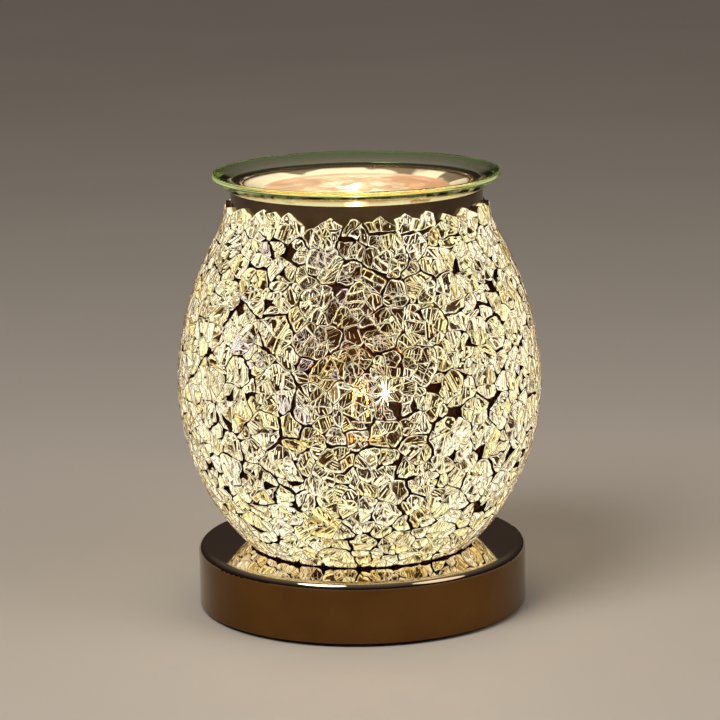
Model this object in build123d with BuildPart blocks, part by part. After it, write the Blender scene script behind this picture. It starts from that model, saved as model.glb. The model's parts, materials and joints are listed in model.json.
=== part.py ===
from build123d import *
from math import cos, degrees, radians, sin, tan
import os

# Electric wax melt warmer: a crackled glass mosaic shade on a round chromed base with a touch dimmer inside,
# a capsule lamp on a ceramic holder, and a loose glass dish that holds the wax.
# Millimetres. +Z is up, the origin is at the centre of the base, on the surface that the feet stand on.
# The front faces -Y, and the cord inlet is at the back, on +Y.

os.makedirs("parts", exist_ok=True)

# ---------------------------------------------------------------- driving dimensions
BASE_R = 68.0  # outer radius of the chromed base
BASE_BOTTOM = 1.5  # rim of the base above the table
BASE_TOP = 26.5  # flat top of the base
BASE_WALL = 1.2
BASE_FILLET = 3.0

PLATE_R = 66.5
PLATE_Z0, PLATE_Z1 = 2.0, 3.5
FOOT_R, FOOT_PCR, FOOT_H = 5.5, 54.0, 2.0
TAB_ANGLES = (30.0, 150.0, 270.0)
TAB_SCREW_R = 60.5

INLET_Z = 12.5  # cord inlet height
INLET_BORE_R = 3.1  # for a flex about 6 mm thick
INLET_CORE_R = 4.8

NIPPLE_R, NIPPLE_BORE_R = 5.0, 4.0
NIPPLE_Z0, NIPPLE_Z1 = 14.5, 42.5
NUT_AF = 14.0

SHADE_BOTTOM = 27.5
SHADE_FLOOR_TOP = 30.5
SHADE_HOLE_R = 20.0
SHADE_CUTS = (60.0, 112.0)  # heights where the foot, belly and neck of the shade meet
NECK_TOP = 174.5
MOSAIC_TOP = 168.0

# The outside of the mosaic, from the bottom up: three arcs that bulge out, then one that turns in to the vertical neck.
# Each is (radius, turn in degrees); the heading is measured from the vertical.
MOSAIC_START = (47.21, 27.5)
MOSAIC_HEADING = 47.19
MOSAIC_ARCS = [(79.75, 17.95), (97.09, 37.35), (136.86, 21.24)]
NECK_BLEND_R = 28.0
MOSAIC_T = 2.8  # thickness of the layer of chips
SHADE_T = 2.5  # thickness of the blown glass behind it

# The dish in half section, as (radius, height, corner radius)
DISH_SEAT_Z = NECK_TOP
DISH_SECTION = [
    (31.2, 163.4, 8.0), (39.2, 171.0, 5.0), (47.7, 173.6, 0.6), (48.4, DISH_SEAT_Z, 0.2), (51.9, DISH_SEAT_Z, 0.8),
    (58.7, 179.3, 0.9), (58.7, 181.5, 0.75), (38.2, 174.6, 6.0), (31.0, 167.0, 8.0),
]
DISH_BOTTOM, DISH_FLOOR = 163.4, 167.0
WAX_LEVEL = 174.3

LAMP_PITCH = 9.0  # between the two pins
LAMP_SEAT_Z = 64.2  # where the pinch stands in the holder
CAPSULE_R, CAPSULE_WALL = 6.6, 0.9
CAPSULE_DOME_Z = 98.0
HOLDER_Z0, HOLDER_Z1 = 48.0, 70.0

CLEAR = 0.05  # running gap round screws and the threaded tube


def layer(depth, z_start, up=True):
    """Draws the shade's curve, depth mm inside the mosaic's outside, from height z_start to where it turns vertical. Returns its two ends."""
    heading = radians(MOSAIC_HEADING)
    r = MOSAIC_START[0] - depth * cos(heading)
    z = MOSAIC_START[1] + depth * sin(heading)
    first = (r - (z - z_start) * tan(heading), z_start)
    if z - z_start > 1e-6:
        Line(first, (r, z))
    r, z = MOSAIC_START
    for radius, turn in MOSAIC_ARCS:
        centre = (r - radius * cos(heading), z + radius * sin(heading))
        CenterArc(centre, radius - depth, -degrees(heading), turn)
        heading -= radians(turn)
        r, z = centre[0] + radius * cos(heading), centre[1] - radius * sin(heading)
    centre = (r + NECK_BLEND_R * cos(heading), z - NECK_BLEND_R * sin(heading))
    CenterArc(centre, NECK_BLEND_R + depth, 180 - degrees(heading), degrees(heading))
    return first, (centre[0] - NECK_BLEND_R - depth, centre[1])


def dish_points(section, start, end):
    """The corners and corner radii of part of the dish's section, with its two plain ends."""
    return [start] + [(r, z) for r, z, _ in section] + [end], [c for _, _, c in section]


# ---------------------------------------------------------------- base
with BuildPart() as base_shell:
    with BuildSketch(Plane.XZ):
        with BuildLine():
            Polyline((0, BASE_BOTTOM), (BASE_R, BASE_BOTTOM), (BASE_R, BASE_TOP), (0, BASE_TOP), close=True)
        make_face()
    revolve(axis=Axis.Z)
    fillet(base_shell.edges().filter_by(GeomType.CIRCLE).group_by(Axis.Z)[-1], BASE_FILLET)
    # hollow underside, with an inner corner that follows the outer one
    with BuildSketch(Plane.XZ):
        with BuildLine():
            Polyline((0, BASE_BOTTOM - 1), (BASE_R - BASE_WALL, BASE_BOTTOM - 1), (BASE_R - BASE_WALL, BASE_TOP - BASE_FILLET), (BASE_R - BASE_FILLET, BASE_TOP - BASE_WALL), (0, BASE_TOP - BASE_WALL), close=True)
        make_face()
    revolve(axis=Axis.Z, mode=Mode.SUBTRACT)
    # hole for the threaded tube
    with BuildSketch(Plane.XY.offset(BASE_TOP - 5)):
        Circle(NIPPLE_R + CLEAR)
    extrude(amount=10, mode=Mode.SUBTRACT)
    # cord inlet hole in the back wall
    with BuildSketch(Plane(origin=(0, BASE_R - 6, INLET_Z), x_dir=(1, 0, 0), z_dir=(0, 1, 0))):
        Circle(INLET_CORE_R)
    extrude(amount=12, mode=Mode.SUBTRACT)
    # the bottom rim is rolled smooth
    fillet(base_shell.edges().filter_by(GeomType.CIRCLE).group_by(Axis.Z)[0], 0.4)
base_shell.part.label = "base_shell"
export_step(base_shell.part, "parts/base_shell.step")

with BuildPart() as base_tabs:
    # three steel tabs welded inside the wall, each with a threaded hole for a plate screw
    for angle in TAB_ANGLES:
        frame = Plane(origin=(0, 0, PLATE_Z1), x_dir=Vector(1, 0, 0).rotate(Axis.Z, angle), z_dir=(0, 0, 1))
        with BuildSketch(frame):
            with BuildLine():
                RadiusArc((BASE_R - BASE_WALL, -6), (BASE_R - BASE_WALL, 6), BASE_R)
                Polyline((BASE_R - BASE_WALL, 6), (55.5, 6), (55.5, -6), (BASE_R - BASE_WALL, -6))
            make_face()
        extrude(amount=1.5)
        with BuildSketch(frame.offset(1.5)):
            with BuildLine():
                RadiusArc((BASE_R - BASE_WALL, -6), (BASE_R - BASE_WALL, 6), BASE_R)
                Line((BASE_R - BASE_WALL, 6), (BASE_R - BASE_WALL - 1.4, 6))
                RadiusArc((BASE_R - BASE_WALL - 1.4, 6), (BASE_R - BASE_WALL - 1.4, -6), -BASE_R)
                Line((BASE_R - BASE_WALL - 1.4, -6), (BASE_R - BASE_WALL, -6))
            make_face()
        extrude(amount=9)
    with BuildSketch(Plane.XY.offset(PLATE_Z1 - 1)):
        for angle in TAB_ANGLES:
            with Locations(Vector(TAB_SCREW_R, 0, 0).rotate(Axis.Z, angle)):
                Circle(1.5 + CLEAR)
    extrude(amount=4, mode=Mode.SUBTRACT)
    # trimmed to the inside of the shell
    with BuildSketch(Plane.XY.offset(PLATE_Z1 - 1)):
        Circle(BASE_R - BASE_WALL)
    extrude(amount=20, mode=Mode.INTERSECT)
base_tabs.part.label = "base_tabs"
export_step(base_tabs.part, "parts/base_tabs.step")

with BuildPart() as base_plate:
    with BuildSketch(Plane.XY.offset(PLATE_Z0)):
        Circle(PLATE_R)
    extrude(amount=PLATE_Z1 - PLATE_Z0)
    fillet(base_plate.edges().filter_by(GeomType.CIRCLE).group_by(Axis.Z)[0], 0.5)
    # a stiffening ring pressed up into the plate
    with BuildSketch(Plane.XY.offset(PLATE_Z1)):
        Circle(17.0)
        Circle(14.0, mode=Mode.SUBTRACT)
    extrude(amount=0.8)
    with BuildSketch(Plane.XY.offset(PLATE_Z0)):
        Circle(16.3)
        Circle(14.7, mode=Mode.SUBTRACT)
    extrude(amount=0.8, mode=Mode.SUBTRACT)
    # cooling slots
    with BuildSketch(Plane.XY.offset(PLATE_Z0 - 1)):
        with PolarLocations(25.0, 12):
            SlotOverall(9.0, 2.4)
    extrude(amount=4, mode=Mode.SUBTRACT)
    with BuildSketch(Plane.XY.offset(PLATE_Z0)):
        with PolarLocations(TAB_SCREW_R, 3, start_angle=TAB_ANGLES[0]):
            Circle(1.5 + CLEAR)
    extrude(amount=PLATE_Z1 - PLATE_Z0, mode=Mode.SUBTRACT)
    # countersinks, open downwards
    with PolarLocations(TAB_SCREW_R, 3, start_angle=TAB_ANGLES[0]):
        with Locations((0, 0, PLATE_Z0 + 0.625)):
            Cone(2.8, 1.55, 1.25, mode=Mode.SUBTRACT)
base_plate.part.label = "base_plate"
export_step(base_plate.part, "parts/base_plate.step")

with BuildPart() as base_plate_screws:
    with BuildSketch(Plane.XZ):
        with BuildLine():
            Polyline((0, PLATE_Z0 + 0.05), (2.7, PLATE_Z0 + 0.05), (1.5, PLATE_Z0 + 1.25), (1.5, PLATE_Z0 + 5.6), (1.1, PLATE_Z0 + 6.2), (0, PLATE_Z0 + 6.2), close=True)
        make_face()
    revolve(axis=Axis.Z)
    # cross recess
    with BuildSketch(Plane.XY.offset(PLATE_Z0)):
        Rectangle(2.6, 0.6)
        Rectangle(0.6, 2.6)
    extrude(amount=0.7, mode=Mode.SUBTRACT)
    first_plate_screw = base_plate_screws.part
plate_screws = Compound(
    children=[
        first_plate_screw.moved(Location(Vector(TAB_SCREW_R, 0, 0).rotate(Axis.Z, angle)))
        for angle in TAB_ANGLES
    ]
)
plate_screws.label = "base_plate_screws"
export_step(plate_screws, "parts/base_plate_screws.step")

with BuildPart() as rubber_feet:
    with BuildSketch(Plane.XY):
        with PolarLocations(FOOT_PCR, 4, start_angle=45):
            Circle(FOOT_R)
    extrude(amount=FOOT_H)
    chamfer(rubber_feet.edges().filter_by(GeomType.CIRCLE).group_by(Axis.Z)[0], 0.5)
rubber_feet.part.label = "rubber_feet"
export_step(rubber_feet.part, "parts/rubber_feet.step")

with BuildPart() as cord_grommet:
    # a rubber bush that snaps into the inlet hole; its groove follows the curve of the wall
    inlet = Plane(origin=(0, 64.8, INLET_Z), x_dir=(1, 0, 0), z_dir=(0, 1, 0))
    with BuildSketch(inlet):
        Circle(7.0)
    extrude(amount=5.8)
    fillet(cord_grommet.edges().filter_by(GeomType.CIRCLE).group_by(Axis.Y)[-1], 1.0)
    with BuildSketch(Plane.XY.offset(INLET_Z - 10)):
        Circle(BASE_R)
        Circle(BASE_R - BASE_WALL, mode=Mode.SUBTRACT)
    extrude(amount=20, mode=Mode.SUBTRACT)
    with BuildSketch(inlet.offset(0.5)):
        Circle(INLET_CORE_R)
    extrude(amount=4.0)
    with BuildSketch(inlet.offset(-1)):
        Circle(INLET_BORE_R)
    extrude(amount=8, mode=Mode.SUBTRACT)
cord_grommet.part.label = "cord_grommet"
export_step(cord_grommet.part, "parts/cord_grommet.step")

# ---------------------------------------------------------------- electrics in the base
BLOCK_X, BLOCK_Y = 25.0, 36.0
with BuildPart() as terminal_block:
    with BuildSketch(Plane.XY.offset(PLATE_Z1)):
        with Locations((BLOCK_X, BLOCK_Y)):
            RectangleRounded(20.0, 16.0, 1.2)
    extrude(amount=7.0)
    with BuildSketch(Plane.XY.offset(PLATE_Z1 + 7.0)):
        with Locations((BLOCK_X - 5, BLOCK_Y), (BLOCK_X + 5, BLOCK_Y)):
            RectangleRounded(7.6, 14.0, 1.0)
    extrude(amount=5.0)
    # wire ways, along Y
    with BuildSketch(Plane(origin=(0, BLOCK_Y - 12, 0), x_dir=(1, 0, 0), z_dir=(0, 1, 0))):
        with Locations((BLOCK_X - 5, -(PLATE_Z1 + 5.5)), (BLOCK_X + 5, -(PLATE_Z1 + 5.5))):
            Circle(1.7)
    extrude(amount=24, mode=Mode.SUBTRACT)
    # screw shafts from above
    with BuildSketch(Plane.XY.offset(PLATE_Z1 + 5.5)):
        with Locations((BLOCK_X - 5, BLOCK_Y - 4), (BLOCK_X + 5, BLOCK_Y - 4), (BLOCK_X - 5, BLOCK_Y + 4), (BLOCK_X + 5, BLOCK_Y + 4)):
            Circle(1.6)
    extrude(amount=8, mode=Mode.SUBTRACT)
terminal_block.part.label = "terminal_block"
export_step(terminal_block.part, "parts/terminal_block.step")

with BuildPart() as terminal_screws:
    with BuildSketch(Plane.XY.offset(PLATE_Z1 + 7.4)):
        with Locations((BLOCK_X - 5, BLOCK_Y - 4), (BLOCK_X + 5, BLOCK_Y - 4), (BLOCK_X - 5, BLOCK_Y + 4), (BLOCK_X + 5, BLOCK_Y + 4)):
            Circle(1.6)
    extrude(amount=3.2)
    with BuildSketch(Plane.XY.offset(PLATE_Z1 + 10.0)):
        with Locations((BLOCK_X - 5, BLOCK_Y - 4), (BLOCK_X + 5, BLOCK_Y - 4), (BLOCK_X - 5, BLOCK_Y + 4), (BLOCK_X + 5, BLOCK_Y + 4)):
            Rectangle(4.0, 0.6)
    extrude(amount=2, mode=Mode.SUBTRACT)
terminal_screws.part.label = "terminal_screws"
export_step(terminal_screws.part, "parts/terminal_screws.step")

CASE_Y = -39.0
CASE_X, CASE_D = 50.0, 28.0
CASE_Z0, CASE_Z1 = 9.8, 24.0
with BuildPart() as dimmer_case:
    with BuildSketch(Plane.XY.offset(CASE_Z0)):
        with Locations((0, CASE_Y)):
            RectangleRounded(CASE_X, CASE_D, 2.0)
    extrude(amount=CASE_Z1 - CASE_Z0)
    with BuildSketch(Plane.XY.offset(CASE_Z0)):
        with Locations((0, CASE_Y)):
            RectangleRounded(CASE_X - 2.8, CASE_D - 2.8, 1.2)
    extrude(amount=CASE_Z1 - CASE_Z0 - 1.4, mode=Mode.SUBTRACT)
    # wire exits in the wall that faces the middle
    with BuildSketch(Plane(origin=(0, CASE_Y + CASE_D / 2 - 3, 0), x_dir=(1, 0, 0), z_dir=(0, 1, 0))):
        with Locations((-1.5, -12.0), (1.5, -12.0), (18.5, -12.0), (22.0 - 0.4, -12.0), (-8.0, -20.0)):
            Circle(1.2)
    extrude(amount=6, mode=Mode.SUBTRACT)
dimmer_case.part.label = "dimmer_case"
export_step(dimmer_case.part, "parts/dimmer_case.step")

with BuildPart() as dimmer_cover:
    with BuildSketch(Plane.XY.offset(CASE_Z0 - 1.2)):
        with Locations((0, CASE_Y)):
            RectangleRounded(CASE_X, CASE_D, 2.0)
    extrude(amount=1.2)
    with BuildSketch(Plane.XY.offset(CASE_Z0)):
        with Locations((-CASE_X / 2 + 6, CASE_Y - CASE_D / 2 + 2.2), (CASE_X / 2 - 6, CASE_Y - CASE_D / 2 + 2.2)):
            Rectangle(5.0, 1.2)
    extrude(amount=3.0)
dimmer_cover.part.label = "dimmer_cover"
export_step(dimmer_cover.part, "parts/dimmer_cover.step")

with BuildPart() as dimmer_pad:
    # foam tape that holds the case to the underside of the top
    with BuildSketch(Plane.XY.offset(CASE_Z1)):
        with Locations((0, CASE_Y)):
            RectangleRounded(40.0, 20.0, 1.0)
    extrude(amount=BASE_TOP - BASE_WALL - CASE_Z1)
dimmer_pad.part.label = "dimmer_pad"
export_step(dimmer_pad.part, "parts/dimmer_pad.step")

BOARD_Z = 14.4
with BuildPart() as dimmer_board:
    with BuildSketch(Plane.XY.offset(BOARD_Z)):
        with Locations((0, CASE_Y)):
            Rectangle(CASE_X - 3.6, CASE_D - 3.6)
        with GridLocations(40.0, 18.0, 2, 2):
            with Locations((0, CASE_Y)):
                Circle(1.1, mode=Mode.SUBTRACT)
    extrude(amount=1.6)
dimmer_board.part.label = "dimmer_board"
export_step(dimmer_board.part, "parts/dimmer_board.step")

with BuildPart() as dimmer_components:
    top = Plane.XY.offset(BOARD_Z + 1.6)
    # triac, film capacitor, touch chip, two electrolytics, a choke
    with BuildSketch(top):
        with Locations((-15.0, CASE_Y + 3.0)):
            Rectangle(10.0, 4.4)
    extrude(amount=6.2)
    with BuildSketch(top):
        with Locations((12.0, CASE_Y + 4.0)):
            RectangleRounded(12.0, 5.0, 1.0)
    extrude(amount=6.0)
    with BuildSketch(top):
        with Locations((0.0, CASE_Y - 4.0)):
            Rectangle(9.8, 6.4)
    extrude(amount=2.6)
    with BuildSketch(top):
        with Locations((-13.0, CASE_Y - 5.0), (17.0, CASE_Y - 5.0)):
            Circle(3.0)
    extrude(amount=6.0)
dimmer_components.part.label = "dimmer_components"
export_step(dimmer_components.part, "parts/dimmer_components.step")

# the tag and the lead that make the whole metal base the touch sensor
TAG_Z1 = BASE_TOP - BASE_WALL
with BuildPart() as sense_tag:
    with BuildSketch(Plane.XY.offset(TAG_Z1 - 0.8)):
        Circle(9.0)
        with Locations((-8.0, -9.5)):
            Rectangle(4.0, 9.0, rotation=0)
        with Locations((-6.2, -5.8)):
            Rectangle(6.0, 4.0)
        Circle(NIPPLE_R + CLEAR, mode=Mode.SUBTRACT)
    extrude(amount=0.8)
sense_tag.part.label = "sense_tag"
export_step(sense_tag.part, "parts/sense_tag.step")

LEAD_R = 0.9
with BuildPart() as sense_lead:
    with BuildLine() as sense_path:
        FilletPolyline((-8.0, -12.6, TAG_Z1 - 0.8), (-8.0, -12.6, 20.6), (-8.0, -17.6, 20.0), (-8.0, CASE_Y + CASE_D / 2 - 1.4, 20.0), radius=[1.6, 2.2])
    with BuildSketch(Plane(origin=sense_path.line @ 0, z_dir=sense_path.line % 0)):
        Circle(0.7)
    sweep(path=sense_path.line)
sense_lead.part.label = "sense_lead"
export_step(sense_lead.part, "parts/sense_lead.step")

with BuildPart() as mains_leads:
    # from the terminal block round the middle to the dimmer
    with BuildLine() as mains_a:
        FilletPolyline((BLOCK_X - 5, BLOCK_Y - 4.5, PLATE_Z1 + 5.5), (BLOCK_X - 5, 20.0, PLATE_Z1 + 5.9), (17.2, 2.0, 10.5), (18.5, -14.0, 12.0), (18.5, CASE_Y + CASE_D / 2 - 1.4, 12.0), radius=[9.0, 12.0, 9.0])
    with BuildSketch(Plane(origin=mains_a.line @ 0, z_dir=mains_a.line % 0)):
        Circle(LEAD_R)
    sweep(path=mains_a.line)
    with BuildLine() as mains_b:
        FilletPolyline((BLOCK_X + 5, BLOCK_Y - 4.5, PLATE_Z1 + 5.5), (BLOCK_X + 5, 20.0, PLATE_Z1 + 5.9), (25.4, 2.0, 10.5), (21.6, -14.0, 12.0), (21.6, CASE_Y + CASE_D / 2 - 1.4, 12.0), radius=[9.0, 12.0, 9.0])
    with BuildSketch(Plane(origin=mains_b.line @ 0, z_dir=mains_b.line % 0)):
        Circle(LEAD_R)
    sweep(path=mains_b.line)
mains_leads.part.label = "mains_leads"
export_step(mains_leads.part, "parts/mains_leads.step")

with BuildPart() as lamp_leads:
    # two sleeved wires from the dimmer, up through the threaded tube, to the lampholder
    for side in (-1, 1):
        with BuildLine() as lamp_path:
            FilletPolyline(
                (side * 1.5, CASE_Y + CASE_D / 2 - 1.4, 12.0),
                (side * 1.5, -7.0, 9.6),
                (side * 1.5, 0.0, 9.0),
                (side * 1.5, 0.0, 42.6),
                (side * LAMP_PITCH / 2, 0.0, 47.2),
                (side * LAMP_PITCH / 2, 0.0, HOLDER_Z0 + 2.5),
                radius=[6.0, 3.2, 2.6, 2.6],
            )
        with BuildSketch(Plane(origin=lamp_path.line @ 0, z_dir=lamp_path.line % 0)):
            Circle(LEAD_R)
        sweep(path=lamp_path.line)
lamp_leads.part.label = "lamp_leads"
export_step(lamp_leads.part, "parts/lamp_leads.step")


# ---------------------------------------------------------------- the clamped stack on the threaded tube
with BuildPart() as threaded_tube:
    with BuildSketch(Plane.XY.offset(NIPPLE_Z0)):
        Circle(NIPPLE_R)
        Circle(NIPPLE_BORE_R, mode=Mode.SUBTRACT)
    extrude(amount=NIPPLE_Z1 - NIPPLE_Z0)
    chamfer(threaded_tube.edges().filter_by(GeomType.CIRCLE).group_by(Axis.Z)[-1].sort_by(SortBy.RADIUS)[-1], 0.4)
    chamfer(threaded_tube.edges().filter_by(GeomType.CIRCLE).group_by(Axis.Z)[0].sort_by(SortBy.RADIUS)[-1], 0.4)
threaded_tube.part.label = "threaded_tube"
export_step(threaded_tube.part, "parts/threaded_tube.step")

LOWER_WASHER_Z = TAG_Z1 - 0.8 - 1.0
with BuildPart() as lock_washer:
    with BuildSketch(Plane.XY.offset(LOWER_WASHER_Z)):
        Circle(8.0)
        with PolarLocations(8.0, 12):
            Rectangle(1.6, 1.5)
        Circle(NIPPLE_R + CLEAR, mode=Mode.SUBTRACT)
    extrude(amount=1.0)
lock_washer.part.label = "lock_washer"
export_step(lock_washer.part, "parts/lock_washer.step")

with BuildPart() as lower_nut:
    with BuildSketch(Plane.XY.offset(LOWER_WASHER_Z - 4.0)):
        RegularPolygon(NUT_AF / 2, 6, major_radius=False)
        Circle(NIPPLE_R + CLEAR, mode=Mode.SUBTRACT)
    extrude(amount=4.0)
lower_nut.part.label = "lower_nut"
export_step(lower_nut.part, "parts/lower_nut.step")

with BuildPart() as seat_gasket:
    # silicone ring under the glass, with a spigot that centres the hole in its floor
    with BuildSketch(Plane.XY.offset(BASE_TOP)):
        Circle(40.0)
        Circle(12.0, mode=Mode.SUBTRACT)
    extrude(amount=SHADE_BOTTOM - BASE_TOP)
    with BuildSketch(Plane.XY.offset(SHADE_BOTTOM)):
        Circle(SHADE_HOLE_R - 0.2)
        Circle(12.0, mode=Mode.SUBTRACT)
    extrude(amount=2.7)
seat_gasket.part.label = "seat_gasket"
export_step(seat_gasket.part, "parts/seat_gasket.step")

with BuildPart() as upper_gasket:
    with BuildSketch(Plane.XY.offset(SHADE_FLOOR_TOP)):
        Circle(27.0)
        Circle(14.0, mode=Mode.SUBTRACT)
    extrude(amount=0.8)
upper_gasket.part.label = "upper_gasket"
export_step(upper_gasket.part, "parts/upper_gasket.step")

DISC_Z0 = SHADE_FLOOR_TOP + 0.8
with BuildPart() as clamp_disc:
    with BuildSketch(Plane.XY.offset(DISC_Z0)):
        Circle(28.0)
        Circle(NIPPLE_R + CLEAR, mode=Mode.SUBTRACT)
    extrude(amount=1.2)
    # a turned-up rim
    with BuildSketch(Plane.XY.offset(DISC_Z0 + 1.2)):
        Circle(28.0)
        Circle(26.8, mode=Mode.SUBTRACT)
    extrude(amount=1.6)
    fillet(clamp_disc.edges().filter_by(GeomType.CIRCLE).group_by(Axis.Z)[-1], 0.4)
clamp_disc.part.label = "clamp_disc"
export_step(clamp_disc.part, "parts/clamp_disc.step")

CLAMP_NUT_Z = DISC_Z0 + 1.2
with BuildPart() as clamp_nut:
    with BuildSketch(Plane.XY.offset(CLAMP_NUT_Z)):
        RegularPolygon(NUT_AF / 2, 6, major_radius=False)
        Circle(NIPPLE_R + CLEAR, mode=Mode.SUBTRACT)
    extrude(amount=4.0)
    # domed corners, as on a real hexagon nut
    with BuildSketch(Plane.XZ):
        with BuildLine():
            Polyline((NUT_AF / 2 - 0.1, CLAMP_NUT_Z + 4.0), (NUT_AF / 2 + 2, CLAMP_NUT_Z + 4.0), (NUT_AF / 2 + 2, CLAMP_NUT_Z + 2.8), close=True)
        make_face()
    revolve(axis=Axis.Z, mode=Mode.SUBTRACT)
clamp_nut.part.label = "clamp_nut"
export_step(clamp_nut.part, "parts/clamp_nut.step")

BRACKET_Z = CLAMP_NUT_Z + 4.0
BRACKET_X = 19.5  # half width over the legs
EAR_Z = 58.0  # where the holder's ears stand on the bracket's tabs
with BuildPart() as holder_bracket:
    # bent steel strip: foot, two legs and two tabs turned inwards
    with BuildSketch(Plane.XZ.offset(-6.0)):
        with BuildLine():
            Polyline(
                (-BRACKET_X, BRACKET_Z), (BRACKET_X, BRACKET_Z), (BRACKET_X, EAR_Z), (11.6, EAR_Z), (11.6, EAR_Z - 1.0),
                (BRACKET_X - 1.0, EAR_Z - 1.0), (BRACKET_X - 1.0, BRACKET_Z + 1.0), (-BRACKET_X + 1.0, BRACKET_Z + 1.0),
                (-BRACKET_X + 1.0, EAR_Z - 1.0), (-11.6, EAR_Z - 1.0), (-11.6, EAR_Z), (-BRACKET_X, EAR_Z), close=True,
            )
        make_face()
    extrude(amount=12.0)
    fillet(holder_bracket.edges().filter_by(Axis.Y).filter_by(lambda e: abs(abs(e.center().X) - BRACKET_X) < 0.01), 1.4)
    with BuildSketch(Plane.XY.offset(BRACKET_Z - 1)):
        Circle(NIPPLE_R + CLEAR)
    extrude(amount=3, mode=Mode.SUBTRACT)
    with BuildSketch(Plane.XY.offset(EAR_Z - 2)):
        with Locations((-14.8, 0), (14.8, 0)):
            Circle(1.5 + CLEAR)
    extrude(amount=3, mode=Mode.SUBTRACT)
holder_bracket.part.label = "holder_bracket"
export_step(holder_bracket.part, "parts/holder_bracket.step")

with BuildPart() as bracket_nut:
    with BuildSketch(Plane.XY.offset(BRACKET_Z + 1.0)):
        RegularPolygon(NUT_AF / 2, 6, major_radius=False)
        Circle(NIPPLE_R + CLEAR, mode=Mode.SUBTRACT)
    extrude(amount=3.5)
    with BuildSketch(Plane.XZ):
        with BuildLine():
            Polyline((NUT_AF / 2 - 0.1, BRACKET_Z + 4.5), (NUT_AF / 2 + 2, BRACKET_Z + 4.5), (NUT_AF / 2 + 2, BRACKET_Z + 3.3), close=True)
        make_face()
    revolve(axis=Axis.Z, mode=Mode.SUBTRACT)
bracket_nut.part.label = "bracket_nut"
export_step(bracket_nut.part, "parts/bracket_nut.step")

# ---------------------------------------------------------------- lampholder
with BuildPart() as lampholder_body:
    with BuildSketch(Plane.XY.offset(HOLDER_Z0)):
        RectangleRounded(22.0, 13.6, 3.0)
    extrude(amount=HOLDER_Z1 - HOLDER_Z0)
    chamfer(lampholder_body.edges().group_by(Axis.Z)[-1], 0.8)
    # ears for the two screws
    with BuildSketch(Plane.XY.offset(EAR_Z)):
        RectangleRounded(37.0, 10.0, 4.0)
    extrude(amount=3.2)
    with BuildSketch(Plane.XY.offset(EAR_Z - 1)):
        with Locations((-14.8, 0), (14.8, 0)):
            Circle(1.7)
    extrude(amount=6, mode=Mode.SUBTRACT)
    # seat for the lamp's pinch
    with BuildSketch(Plane.XY.offset(LAMP_SEAT_Z - 0.2)):
        RectangleRounded(15.6, 5.8, 1.0)
    extrude(amount=HOLDER_Z1 - LAMP_SEAT_Z + 1, mode=Mode.SUBTRACT)
    # a slot for each pin, over a pocket for its contact, open below
    with BuildSketch(Plane.XY.offset(LAMP_SEAT_Z - 3.0)):
        with Locations((-LAMP_PITCH / 2, 0), (LAMP_PITCH / 2, 0)):
            SlotOverall(4.4, 1.6)
    extrude(amount=4.0, mode=Mode.SUBTRACT)
    with BuildSketch(Plane.XY.offset(HOLDER_Z0 + 5.0)):
        with Locations((-LAMP_PITCH / 2, 0), (LAMP_PITCH / 2, 0)):
            Rectangle(5.0, 4.6)
    extrude(amount=LAMP_SEAT_Z - 3.0 - HOLDER_Z0 - 5.0, mode=Mode.SUBTRACT)
    with BuildSketch(Plane.XY.offset(HOLDER_Z0 - 1)):
        with Locations((-LAMP_PITCH / 2, 0), (LAMP_PITCH / 2, 0)):
            Circle(1.3)
    extrude(amount=7, mode=Mode.SUBTRACT)
lampholder_body.part.label = "lampholder_body"
export_step(lampholder_body.part, "parts/lampholder_body.step")

with BuildPart() as lampholder_contacts:
    # a folded bronze spring in each pocket; the pin slides between its leaves
    with BuildSketch(Plane.YZ.offset(-2.0)):
        with BuildLine():
            Polyline(
                (-2.0, HOLDER_Z0 + 5.2), (2.0, HOLDER_Z0 + 5.2), (2.0, 59.6), (0.75, 60.6), (0.55, 58.6), (1.4, 57.6), (1.4, HOLDER_Z0 + 5.8),
                (-1.4, HOLDER_Z0 + 5.8), (-1.4, 57.6), (-0.55, 58.6), (-0.75, 60.6), (-2.0, 59.6), close=True,
            )
        make_face()
    extrude(amount=4.0)
    first_contact = lampholder_contacts.part
contacts = Compound(
    children=[first_contact.moved(Location((-LAMP_PITCH / 2, 0, 0))), first_contact.moved(Location((LAMP_PITCH / 2, 0, 0)))]
)
contacts.label = "lampholder_contacts"
export_step(contacts, "parts/lampholder_contacts.step")

with BuildPart() as lampholder_screws:
    with BuildSketch(Plane.XY.offset(EAR_Z + 3.2)):
        with Locations((-14.8, 0), (14.8, 0)):
            Circle(2.8)
    extrude(amount=1.8)
    fillet(lampholder_screws.edges().filter_by(GeomType.CIRCLE).group_by(Axis.Z)[-1], 0.7)
    with BuildSketch(Plane.XY.offset(EAR_Z + 3.2)):
        with Locations((-14.8, 0), (14.8, 0)):
            Circle(1.5)
    extrude(amount=-6.6)
    with BuildSketch(Plane.XY.offset(EAR_Z + 4.2)):
        with Locations((-14.8, 0), (14.8, 0)):
            Rectangle(6.0, 0.7)
    extrude(amount=2, mode=Mode.SUBTRACT)
lampholder_screws.part.label = "lampholder_screws"
export_step(lampholder_screws.part, "parts/lampholder_screws.step")

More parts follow.
